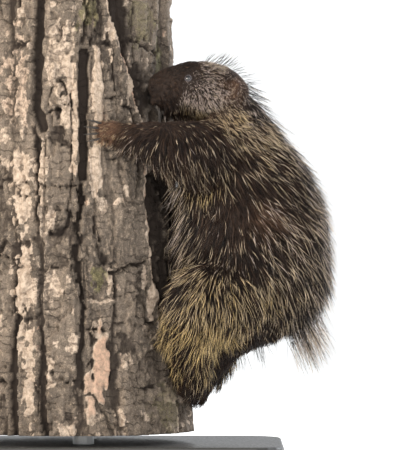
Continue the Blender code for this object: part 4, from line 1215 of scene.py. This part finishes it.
def scatter(co, normals, triangles, density, count, rng):
    """Roots spread over triangles by area and density: their places and the skin's normals there."""
    a, b, c = (co[triangles[:, k]] for k in range(3))
    area = np.linalg.norm(np.cross(b - a, c - a), axis=1) * density
    pick = rng.choice(len(triangles), count, p=area / area.sum())
    r, s = rng.random(count), rng.random(count)
    r, s = np.where(r + s > 1, 1 - r, r), np.where(r + s > 1, 1 - s, s)
    t = 1 - r - s
    corners = triangles[pick]
    shares = [(corners[:, k], share[:, None]) for k, share in enumerate((t, r, s))]
    points = sum(co[corner] * share for corner, share in shares)
    facing = sum(normals[corner] * share for corner, share in shares)
    return points, unit(facing)


def nearest_clump(points, share, rng):
    """For each root, the index of the root that leads its clump."""
    leaders = rng.choice(len(points), max(1, int(len(points) * share)), replace=False)
    tree = KDTree(len(leaders))
    for i, leader in enumerate(leaders):
        tree.insert(points[leader], i)
    tree.balance()
    return leaders[[tree.find(p)[1] for p in points]]


def grow_paths(points, normals, shape, light, skin_tree, rng, rings, clumps=0.085, cling=0.55):
    """Paths of the hairs, arrays (hair, ring, 3): each bends along its flow, dark ones also into clumps."""
    flow_x, flow_z, values, belongs = shape
    length, lift = values[:, 0], values[:, 1]
    head_share = belongs[:, HEAD_GUIDES]
    forward = np.array(OUT) * (1 - head_share[:, None]) + np.array([1.0, 0, 0]) * head_share[:, None]
    way = forward * flow_x[:, None] + np.array([0, 0, 1.0]) * flow_z[:, None]
    natural = (way * normals).sum(1)
    way = way - natural[:, None] * normals
    weak = np.linalg.norm(way, axis=1, keepdims=True)
    down = np.array([0, 0, -1.0]) + normals * normals[:, 2:3]
    way = unit(way + down * np.clip(0.25 - weak, 0, 1))
    side = np.cross(normals, way)
    turn = rng.normal(0, 0.16, len(points))[:, None]
    leader = nearest_clump(points, clumps, rng)
    turn = turn + rng.normal(0, 0.16, len(points))[leader][:, None]
    turn = turn + (rng.normal(0, 0.20, len(points)) * light)[:, None]
    way = unit(way * np.cos(turn) + side * np.sin(turn))
    steep = np.arcsin(np.clip(natural, 0, 0.64)) * (1 - 0.7 * head_share)
    lift = np.maximum(lift, steep) * rng.uniform(0.6, 1.35, len(points))
    lift = np.clip(lift, 0.03, 1.1)[:, None]
    start = unit(way * np.cos(lift) + normals * np.sin(lift))
    droop = np.clip(length / 0.06, 0, 1)[:, None]
    stray = rng.normal(0, 0.10, (len(points), 3)) * (1 + light[:, None])
    end = unit(start - normals * (0.55 * np.sin(lift)) + np.array([0, 0, -0.38]) * droop + stray)
    size = (length * rng.uniform(0.62, 1.12, len(points)))[:, None]
    steps = np.linspace(0, 1, rings + 1)
    paths = [points + size * (start * (s - s * s / 2) + end * (s * s / 2)) for s in steps]
    leads = [path[leader] for path in paths]
    for i, s in enumerate(steps):
        pull = (cling * (1 - 0.65 * light) * s**1.6)[:, None]
        drift = (paths[i] - leads[i]) * 0.12
        paths[i] = paths[i] * (1 - pull) + (leads[i] + drift) * pull
    paths = np.stack(paths, 1)
    paths[:, 0] -= normals * 0.0012
    return clear_of_body(within_reach(paths), skin_tree, length)


def within_reach(paths):
    """Shortens the hairs whose tips would stand out further than the solids' locks do."""
    out = paths[:, -1, 0] - paths[:, 0, 0]
    room = COAT_REACH - paths[:, 0, 0]
    share = np.where(paths[:, -1, 0] > COAT_REACH, room / np.maximum(out, 1e-6), 1.0)
    return paths[:, :1] + (paths - paths[:, :1]) * np.clip(share, 0.25, 1)[:, None, None]


def clear_of_body(paths, skin_tree, length):
    """Lifts the hairs off the skin and the bark wherever they would run into them."""
    steps = paths.shape[1] - 1
    for ring in range(1, steps + 1):
        least = np.minimum(0.0006 + length * 0.05 * ring / steps, 0.004)
        for i, point in enumerate(paths[:, ring]):
            nearest, normal, _, away = skin_tree.find_nearest(point)
            height = (Vector(point) - nearest).dot(normal)
            if height < least[i] and away < 0.03:
                paths[i, ring] += np.array(normal) * (least[i] - height)
    reach = np.hypot(paths[:, 1:, 0] - TRUNK_X, paths[:, 1:, 1])
    bark = trunk_radius(paths[:, 1:, 2]) + BARK_CREST + 0.0010
    push = np.maximum(bark / np.maximum(reach, 1e-6), 1)
    paths[:, 1:, 0] = TRUNK_X + (paths[:, 1:, 0] - TRUNK_X) * push
    paths[:, 1:, 1] *= push
    return paths


def hair_mesh(name, paths, normals, widths, roots, marks):
    """One mesh of closed three-sided hairs, each tapering to a point, with its patch of the coat's map."""
    hairs, count = paths.shape[0], paths.shape[1]
    rings = count - 1
    ways = np.gradient(paths, axis=1)
    ways = unit(ways)
    side = unit(np.cross(ways, normals[:, None, :]))
    top = np.cross(side, ways)
    taper = np.interp(np.linspace(0, 1, count), (0, 0.35, 0.75, 1), (0.75, 1.0, 0.62, 0))
    half = widths[:, None] * taper[None, :] / 2
    corners = []
    for angle in (math.radians(a) for a in (90, 210, 330)):
        offset = side * math.cos(angle) + top * math.sin(angle) * 0.75
        corners.append(paths + offset * half[:, :, None])
    rows = np.stack(corners, 2)
    verts = np.concatenate([rows[:, :rings].reshape(hairs, rings * 3, 3), paths[:, rings:]], 1)
    each = rings * 3 + 1
    along = np.concatenate([np.repeat(np.arange(rings) / rings, 3), [1.0]])
    faces, places = [], []
    for r in range(rings - 1):
        for c in range(3):
            d = (c + 1) % 3
            faces.append((r * 3 + c, r * 3 + 3 + c, r * 3 + 3 + d, r * 3 + d))
            places.append(((c, r), (c, r + 1), (c + 1, r + 1), (c + 1, r)))
    for c in range(3):
        faces.append(((rings - 1) * 3 + c, rings * 3, (rings - 1) * 3 + (c + 1) % 3))
        places.append(((c, rings - 1), (c + 0.5, rings), (c + 1, rings - 1)))
    faces.append((0, 1, 2))
    places.append(((0, 0), (1.5, -0.2), (3, 0)))
    loops = np.array([i for face in faces for i in face])
    spots = np.array([s for place in places for s in place], float)
    spots = (spots / (3, rings) - 0.5) * PATCH * 0.92
    sizes = np.array([len(face) for face in faces])
    base = np.arange(hairs) * each
    mesh = bpy.data.meshes.new(name)
    mesh.vertices.add(hairs * each)
    mesh.vertices.foreach_set("co", verts.astype(np.float32).ravel())
    mesh.loops.add(hairs * len(loops))
    mesh.loops.foreach_set("vertex_index", (base[:, None] + loops[None, :]).astype(np.int32).ravel())
    mesh.polygons.add(hairs * len(faces))
    starts = np.concatenate([[0], np.cumsum(sizes)[:-1]])
    starts = (np.arange(hairs) * len(loops))[:, None] + starts[None, :]
    mesh.polygons.foreach_set("loop_start", starts.astype(np.int32).ravel())
    mesh.update(calc_edges=True)
    mesh.shade_smooth()
    uv = mesh.uv_layers.new(name="OFBake")
    where = roots[:, None, :] + spots[None, :, :]
    uv.data.foreach_set("uv", where.astype(np.float32).ravel())
    set_attribute(mesh, "along", np.tile(along, hairs))
    for key, values in marks.items():
        set_attribute(mesh, key, np.repeat(values, each))
    piece = bpy.data.objects.new(name, mesh)
    bpy.context.scene.collection.objects.link(piece)
    return piece


def map_places(place, angle, rng):
    """Each root's own patch on the unwrap: place along the part and angle round it, no two in one patch."""
    columns = int(1 / PATCH) - 2
    u = (angle / (2 * math.pi) + 0.5) * (columns - 1)
    v = np.clip(place, 0, 1) * (columns - 1)
    taken = set()
    found = np.empty((len(u), 2))
    for i, (a, b) in enumerate(zip(u, v)):
        column, row = int(a), int(b)
        step = 0
        while (column, row) in taken:
            step += 1
            column = int(a + rng.integers(-1 - step // 3, 2 + step // 3)) % columns
            row = min(max(int(b + rng.integers(-1 - step // 3, 2 + step // 3)), 0), columns - 1)
        taken.add((column, row))
        found[i] = (column + 1.5, row + 1.5)
    return found * PATCH


def coat_material():
    made, paint, shader = new_material("guard_hair", 0.40)
    shader.inputs["Specular IOR Level"].default_value = 0.24
    along = attribute(paint, "along").outputs["Fac"]
    tips = attribute(paint, "tips").outputs["Fac"]
    gold = attribute(paint, "gold").outputs["Fac"]
    rust = attribute(paint, "rust").outputs["Fac"]
    tone = attribute(paint, "tone").outputs["Fac"]
    dark = blend(paint, tone, (0.0050, 0.0040, 0.0040), (0.017, 0.0120, 0.0105))
    brown = blend(paint, tone, (0.090, 0.044, 0.026), (0.360, 0.205, 0.125))
    dark = blend(paint, rust, dark, brown)
    pale = blend(paint, spread(paint, gold, 0.0, 0.4), (0.90, 0.74, 0.66), (0.86, 0.68, 0.46))
    pale = blend(paint, spread(paint, gold, 0.4, 1.0), pale, (0.84, 0.61, 0.26))
    share = spread(paint, along, 0.42, 0.70)
    share = maths(paint, "MULTIPLY", share, tips)
    colour = blend(paint, share, dark, pale)
    # Painted shade: each hair darkens to near black towards its root, as deep in the coat where little light
    # reaches
    root = spread(paint, along, 0.0, 0.35, 0.45, 1.0)
    shaded = blend(paint, root, (0.006, 0.0045, 0.004), colour)
    paint.links.new(shaded, shader.inputs["Base Color"])
    return made


def make_coat(skin, lofts):
    rng = np.random.default_rng(5)
    mesh = skin.data
    mesh.calc_loop_triangles()
    triangles = np.empty(len(mesh.loop_triangles) * 3, int)
    mesh.loop_triangles.foreach_get("vertices", triangles)
    triangles = triangles.reshape(-1, 3)
    co, normals = vert_array(mesh), vert_array(mesh, "normal")
    tree = BVHTree.FromPolygons([Vector(c) for c in co], triangles.tolist())
    names, share, _ = part_shares(lofts, co)
    owner = share.argmax(1)[triangles[:, 0]]
    centres = co[triangles].mean(1)
    hair = coat_material()
    reach = np.hypot(centres[:, 0] - TRUNK_X, centres[:, 1])
    hidden = reach < trunk_radius(centres[:, 2]) + BARK_CREST + 0.0012
    for growth in GROWTHS:
        mine = (owner == names.index(growth.part)) & ~hidden
        chosen = triangles[mine]
        thick = (off_eyes(centres[mine]) > FIRST_HAIRS).astype(float)
        points, facing = scatter(co, normals, chosen, thick, growth.hairs, rng)
        _, own_share, measured = part_shares(lofts, points)
        shape = combed(points, names, own_share)
        values = shape[2]
        values[:, 0] = np.minimum(values[:, 0], 0.0016 + np.maximum(off_eyes(points) - 0.0052, 0) * 0.6)
        if growth.part == "head":
            above = points[:, 2] - MASK_MIDDLE[1]
            mask_edge = MASK_MIDDLE[0] + np.where(above > 0, above * 0.50, above * 0.68)
            values[:, 2] *= eased(points[:, 0], mask_edge - 0.002, mask_edge + 0.009)
        under = rng.random(len(points)) < UNDERCOAT_SHARE
        values[:, 0] *= np.where(under, 0.55, 1.0)
        values[:, 1] *= np.where(under, 1.4, 1.0)
        light = (rng.random(len(points)) < values[:, 2] * LIGHT_SHARE) & ~under
        values[:, 1] += 0.05 * light
        paths = grow_paths(points, facing, shape, light.astype(float), tree, rng, growth.rings)
        marks = {
            "tips": light * rng.uniform(0.65, 1.0, len(points)),
            "gold": np.clip(values[:, 3] + rng.normal(0, 0.12, len(points)), 0, 1),
            "rust": np.clip(values[:, 4] + rng.normal(0, 0.12, len(points)), 0, 1),
            "tone": rng.random(len(points)),
        }
        width = growth.width / 1000 * rng.uniform(0.7, 1.15, len(points)) * (1 + 0.04 * light)
        place, angle, _ = measured[growth.part]
        kind = growth.part
        for i in range(growth.pieces):
            pick = slice(i, None, growth.pieces)
            label = f"coat_{kind}" + (f"_{i + 1}" if growth.pieces > 1 else "")
            roots = map_places(place[pick], angle[pick], rng)
            piece = hair_mesh(
                label, paths[pick], facing[pick], width[pick], roots, {k: v[pick] for k, v in marks.items()},
            )
            first = kind.split("_")[0]
            slot = {"head": "face", "forefoot": "foot", "hindfoot": "foot"}.get(first, "coat")
            finish_piece(piece, hair, slot)


def skin_material():
    made, paint, shader = new_material("underfur", 0.8)
    shader.inputs["Specular IOR Level"].default_value = 0.2
    rust = attribute(paint, "rust").outputs["Fac"]
    tips = attribute(paint, "tips").outputs["Fac"]
    broad = noise(paint, 60, 3).outputs["Fac"]
    hairs = noise(paint, 900, 4, (0.25, 1, 0.6), 0.7).outputs["Fac"]
    dark = blend(paint, broad, (0.008, 0.0065, 0.006), (0.018, 0.0135, 0.0115))
    brown = blend(paint, hairs, (0.070, 0.036, 0.022), (0.190, 0.100, 0.058))
    colour = blend(paint, rust, dark, brown)
    grizzle = maths(paint, "MULTIPLY", tips, spread(paint, hairs, 0.58, 0.72, 0, 0.5))
    colour = blend(paint, grizzle, colour, (0.30, 0.235, 0.19))
    lids = attribute(paint, "lids").outputs["Fac"]
    colour = blend(paint, lids, colour, (0.125, 0.114, 0.122))
    paint.links.new(colour, shader.inputs["Base Color"])
    bump(paint, shader, hairs, 0.0009, 0.8)
    return made


def dress_skin(skin, lofts):
    """The coat's own markings on the skin, and the bare grey rims of the lids."""
    co = vert_array(skin.data)
    names, share, _ = part_shares(lofts, co)
    _, _, values, _ = combed(co, names, share)
    set_attribute(skin.data, "tips", values[:, 2])
    set_attribute(skin.data, "rust", values[:, 4])
    bare = 1 - eased(off_eyes(co), *LID_RIM)
    set_attribute(skin.data, "lids", bare)
    flesh = ["torso", "neck", "head", "tail"]
    for name, _ in SIDES:
        flesh += [f"ear_{name}", f"foreleg_{name}", f"hindleg_{name}", f"forefoot_{name}", f"hindfoot_{name}"]
    finish_piece(skin, skin_material(), "coat", *flesh)


# The long single hairs that stand out of the crown, nape, back and rump: where they root as seen from the
# camera, the way they point in degrees above the horizontal to the right, their length in millimetres,
# how far to each side they spread, their share of light tips and how many there are
STRAYS = [
    ((0.146, 0.588), 52, 33, 0.010, 0.1, 12), ((0.156, 0.587), 47, 38, 0.010, 0.1, 14),
    ((0.166, 0.584), 43, 38, 0.010, 0.1, 14), ((0.176, 0.580), 36, 34, 0.010, 0.1, 14),
    ((0.186, 0.572), 20, 30, 0.014, 0.1, 12), ((0.194, 0.562), 2, 34, 0.016, 0.2, 16),
    ((0.198, 0.550), -14, 44, 0.018, 0.3, 30), ((0.206, 0.540), -24, 50, 0.020, 0.3, 34),
    ((0.222, 0.522), -28, 58, 0.024, 0.4, 50), ((0.240, 0.504), -31, 66, 0.028, 0.4, 60),
    ((0.262, 0.480), -36, 78, 0.034, 0.4, 70), ((0.288, 0.440), -38, 84, 0.038, 0.5, 80),
    ((0.305, 0.395), -43, 88, 0.042, 0.5, 80), ((0.314, 0.345), -52, 88, 0.044, 0.5, 80),
    ((0.316, 0.295), -60, 86, 0.044, 0.5, 70), ((0.308, 0.250), -64, 84, 0.042, 0.5, 70),
    ((0.288, 0.218), -60, 96, 0.026, 0.5, 170), ((0.278, 0.210), -61, 90, 0.024, 0.5, 140),
    ((0.296, 0.228), -63, 92, 0.026, 0.5, 100),
    ((0.112, 0.405), -128, 62, 0.012, 0.5, 70), ((0.110, 0.380), -126, 66, 0.012, 0.5, 80),
    ((0.112, 0.352), -122, 62, 0.014, 0.4, 70), ((0.118, 0.330), -118, 56, 0.014, 0.4, 50),
    ((0.215, 0.190), -76, 40, 0.030, 0.2, 30), ((0.190, 0.160), -84, 34, 0.024, 0.1, 30),
]
STRAY_DROOP = 0.16
CHEST_STRAYS_X = 0.13


def stray_middle(x, z):
    """World y round which strays root: on the side that is seen, over the head, or along the back."""
    if x < CHEST_STRAYS_X:
        return -0.125
    if z > 0.5 and x < 0.21:
        return -0.093
    return -(x - TRUNK_X) * math.tan(FACING)


def make_strays(skin):
    mesh = skin.data
    tree = BVHTree.FromPolygons([v.co for v in mesh.vertices], [p.vertices for p in mesh.polygons])
    rng = np.random.default_rng(31)
    paths, normals, tips = [], [], []
    for (x, z), rise, length, wide, light, count in STRAYS:
        for _ in range(count):
            y = stray_middle(x, z) + rng.normal(0, wide)
            probe = Vector((x + rng.normal(0, 0.006), y, z + rng.normal(0, 0.010)))
            root, normal, _, _ = tree.find_nearest(probe)
            turn = math.radians(rise + rng.normal(0, 8))
            way = Vector((math.cos(turn), rng.normal(0, 0.22), math.sin(turn))).normalized()
            way = (way + normal * max(0.10 - way.dot(normal), 0)).normalized()
            size = length / 1000 * rng.uniform(0.7, 1.15)
            droop = Vector((0, 0, -STRAY_DROOP * size)) + Vector(rng.normal(0, 0.05 * size, 3))
            root = root - normal * 0.001
            paths.append([list(root + way * size * s + droop * s * s) for s in (0, 1 / 3, 2 / 3, 1)])
            normals.append(list(normal))
            tips.append(light)
    paths, normals, tips = within_reach(np.array(paths)), np.array(normals), np.array(tips)
    count = len(paths)
    cells = 40
    spots = rng.permutation(cells * cells)[:count]
    roots = (np.stack([spots // cells, spots % cells], 1) + 0.5) / cells
    marks = {
        "tips": (rng.random(count) < tips) * rng.uniform(0.4, 1.0, count), "gold": rng.uniform(0, 0.4, count),
        "rust": np.zeros(count), "tone": rng.random(count),
    }
    piece = hair_mesh("coat_strays", paths, normals, rng.uniform(0.0005, 0.0009, count), roots, marks)
    finish_piece(piece, bpy.data.materials["guard_hair"], "coat")


# The eyes


def eye_material():
    made, paint, shader = new_material("wet_eye", 0.06)
    shader.inputs["Coat Weight"].default_value = 1.0
    shader.inputs["Coat Roughness"].default_value = 0.03
    look = attribute(paint, "look").outputs["Fac"]
    iris = blend(paint, noise(paint, 900, 3).outputs["Fac"], (0.016, 0.010, 0.007), (0.040, 0.022, 0.013))
    colour = blend(paint, spread(paint, look, 0.80, 0.86), iris, (0.003, 0.003, 0.003))
    paint.links.new(colour, shader.inputs["Base Color"])
    return made


def make_eyes():
    wet = eye_material()
    for name, (_, out, centre) in eye_frames().items():
        piece = ball(f"eyeball_{name}", centre, (EYE_RADIUS,) * 3, 48, 32)
        co = vert_array(piece.data)
        set_attribute(piece.data, "look", unit(co - np.array(centre)) @ np.array(out))
        piece.data.shade_smooth()
        finish_piece(piece, wet, "eye", f"eye_{name}")


# The stand


def dress_stand():
    made, paint, shader = new_material("stand_lacquer", 0.42)
    fleck = noise(paint, 260, 4).outputs["Fac"]
    lacquer = blend(paint, fleck, (0.030, 0.028, 0.027), (0.050, 0.047, 0.044))
    paint.links.new(lacquer, shader.inputs["Base Color"])
    paint.links.new(spread(paint, fleck, 0.3, 0.7, 0.36, 0.52), shader.inputs["Roughness"])
    bump(paint, shader, fleck, 0.0004, 0.5)
    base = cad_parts["stand_base"]
    base.data.materials.clear()
    base.data.materials.append(made)
    steel, paint, shader = new_material("brushed_rod", 0.34)
    shader.inputs["Metallic"].default_value = 0.9
    brushed = noise(paint, 400, 3, (1, 1, 14)).outputs["Fac"]
    grey = blend(paint, brushed, (0.30, 0.30, 0.30), (0.46, 0.46, 0.45))
    paint.links.new(grey, shader.inputs["Base Color"])
    bump(paint, shader, brushed, 0.0002, 0.4)
    for name, _ in SIDES:
        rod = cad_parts[f"stand_rod_{name}"]
        rod.data.materials.clear()
        rod.data.materials.append(steel)


# Camera, floor and light

CAMERA_AT = (0.149, -7.0, 0.3465)
ANIMAL_Y = -0.080
SEEN_HEIGHT = 0.675
FLOOR_FLAT = 10.0
FLOOR_BEND = 4.0
FLOOR_GLOW = 0.42
# Each soft light: its place, width, power and colour
LIGHTS = (
    ("key_left", (-2.6, -1.9, 1.8), 1.0, 108, (1.0, 0.90, 0.77)),
    ("front", (0.9, -3.2, 2.2), 1.8, 45, (1.0, 0.97, 0.93)),
    ("rim_right", (2.0, 1.7, 1.6), 1.2, 90, (0.88, 0.93, 1.0)),
)
LIGHTS_AIM = (0.05, 0, 0.35)
SKY_COLOUR = (0.93, 0.96, 1.0, 1)
SKY_STRENGTH = 0.70


def make_camera():
    data = bpy.data.cameras.new("camera")
    camera = bpy.data.objects.new("camera", data)
    bpy.context.scene.collection.objects.link(camera)
    camera.location = CAMERA_AT
    camera.rotation_euler = (math.pi / 2, 0, 0)
    data.angle = 2 * math.atan(SEEN_HEIGHT / 2 / (ANIMAL_Y - CAMERA_AT[1]))
    data.clip_end = 60
    bpy.context.scene.camera = camera


def make_floor():
    """A pale round floor whose far edge bends up out of sight."""
    bm = bmesh.new()
    profile = [bm.verts.new((x, 0, 0)) for x in (0.0, 0.6, 2.0, 6.0, FLOOR_FLAT)]
    for i in range(1, 9):
        turn = math.pi / 2 * i / 8
        x = FLOOR_FLAT + FLOOR_BEND * math.sin(turn)
        profile.append(bm.verts.new((x, 0, FLOOR_BEND * (1 - math.cos(turn)))))
    edges = [bm.edges.new(pair) for pair in zip(profile, profile[1:])]
    bmesh.ops.spin(
        bm, geom=profile + edges, cent=(0, 0, 0), axis=(0, 0, 1), angle=2 * math.pi, steps=64, use_merge=True,
    )
    bmesh.ops.remove_doubles(bm, verts=bm.verts[:], dist=1e-4)
    bmesh.ops.recalc_face_normals(bm, faces=bm.faces[:])
    floor = object_of(bm, "floor")
    if floor.data.polygons[0].normal.z < 0:
        floor.data.flip_normals()
    floor.data.shade_smooth()
    made, paint, shader = new_material("pale_floor", 0.9)
    grain = noise(paint, 3, 3).outputs["Fac"]
    paint.links.new(blend(paint, grain, (0.86, 0.86, 0.85), (0.90, 0.90, 0.89)), shader.inputs["Base Color"])
    shader.inputs["Emission Color"].default_value = (1, 1, 1, 1)
    shader.inputs["Emission Strength"].default_value = FLOOR_GLOW
    floor.data.materials.append(made)


def area_light(name, at, size, power, colour):
    data = bpy.data.lights.new(name, "AREA")
    data.shape = "DISK"
    data.size = size
    data.energy = power
    data.color = colour
    lamp = bpy.data.objects.new(name, data)
    bpy.context.scene.collection.objects.link(lamp)
    lamp.location = at
    lamp.rotation_euler = (Vector(LIGHTS_AIM) - Vector(at)).to_track_quat("-Z", "Y").to_euler()


def make_light():
    world = bpy.data.worlds.new("studio")
    world.use_nodes = True
    world.node_tree.nodes["Background"].inputs["Color"].default_value = SKY_COLOUR
    world.node_tree.nodes["Background"].inputs["Strength"].default_value = SKY_STRENGTH
    bpy.context.scene.world = world
    for light in LIGHTS:
        area_light(*light)
    bpy.context.scene.view_settings.view_transform = "Standard"


make_camera()
make_floor()
make_light()
make_trunk()
dress_stand()
make_claws()
make_eyes()
LOFTS = body_lofts()
hide = make_skin(LOFTS)
dress_skin(hide, LOFTS)
make_coat(hide, LOFTS)
make_strays(hide)
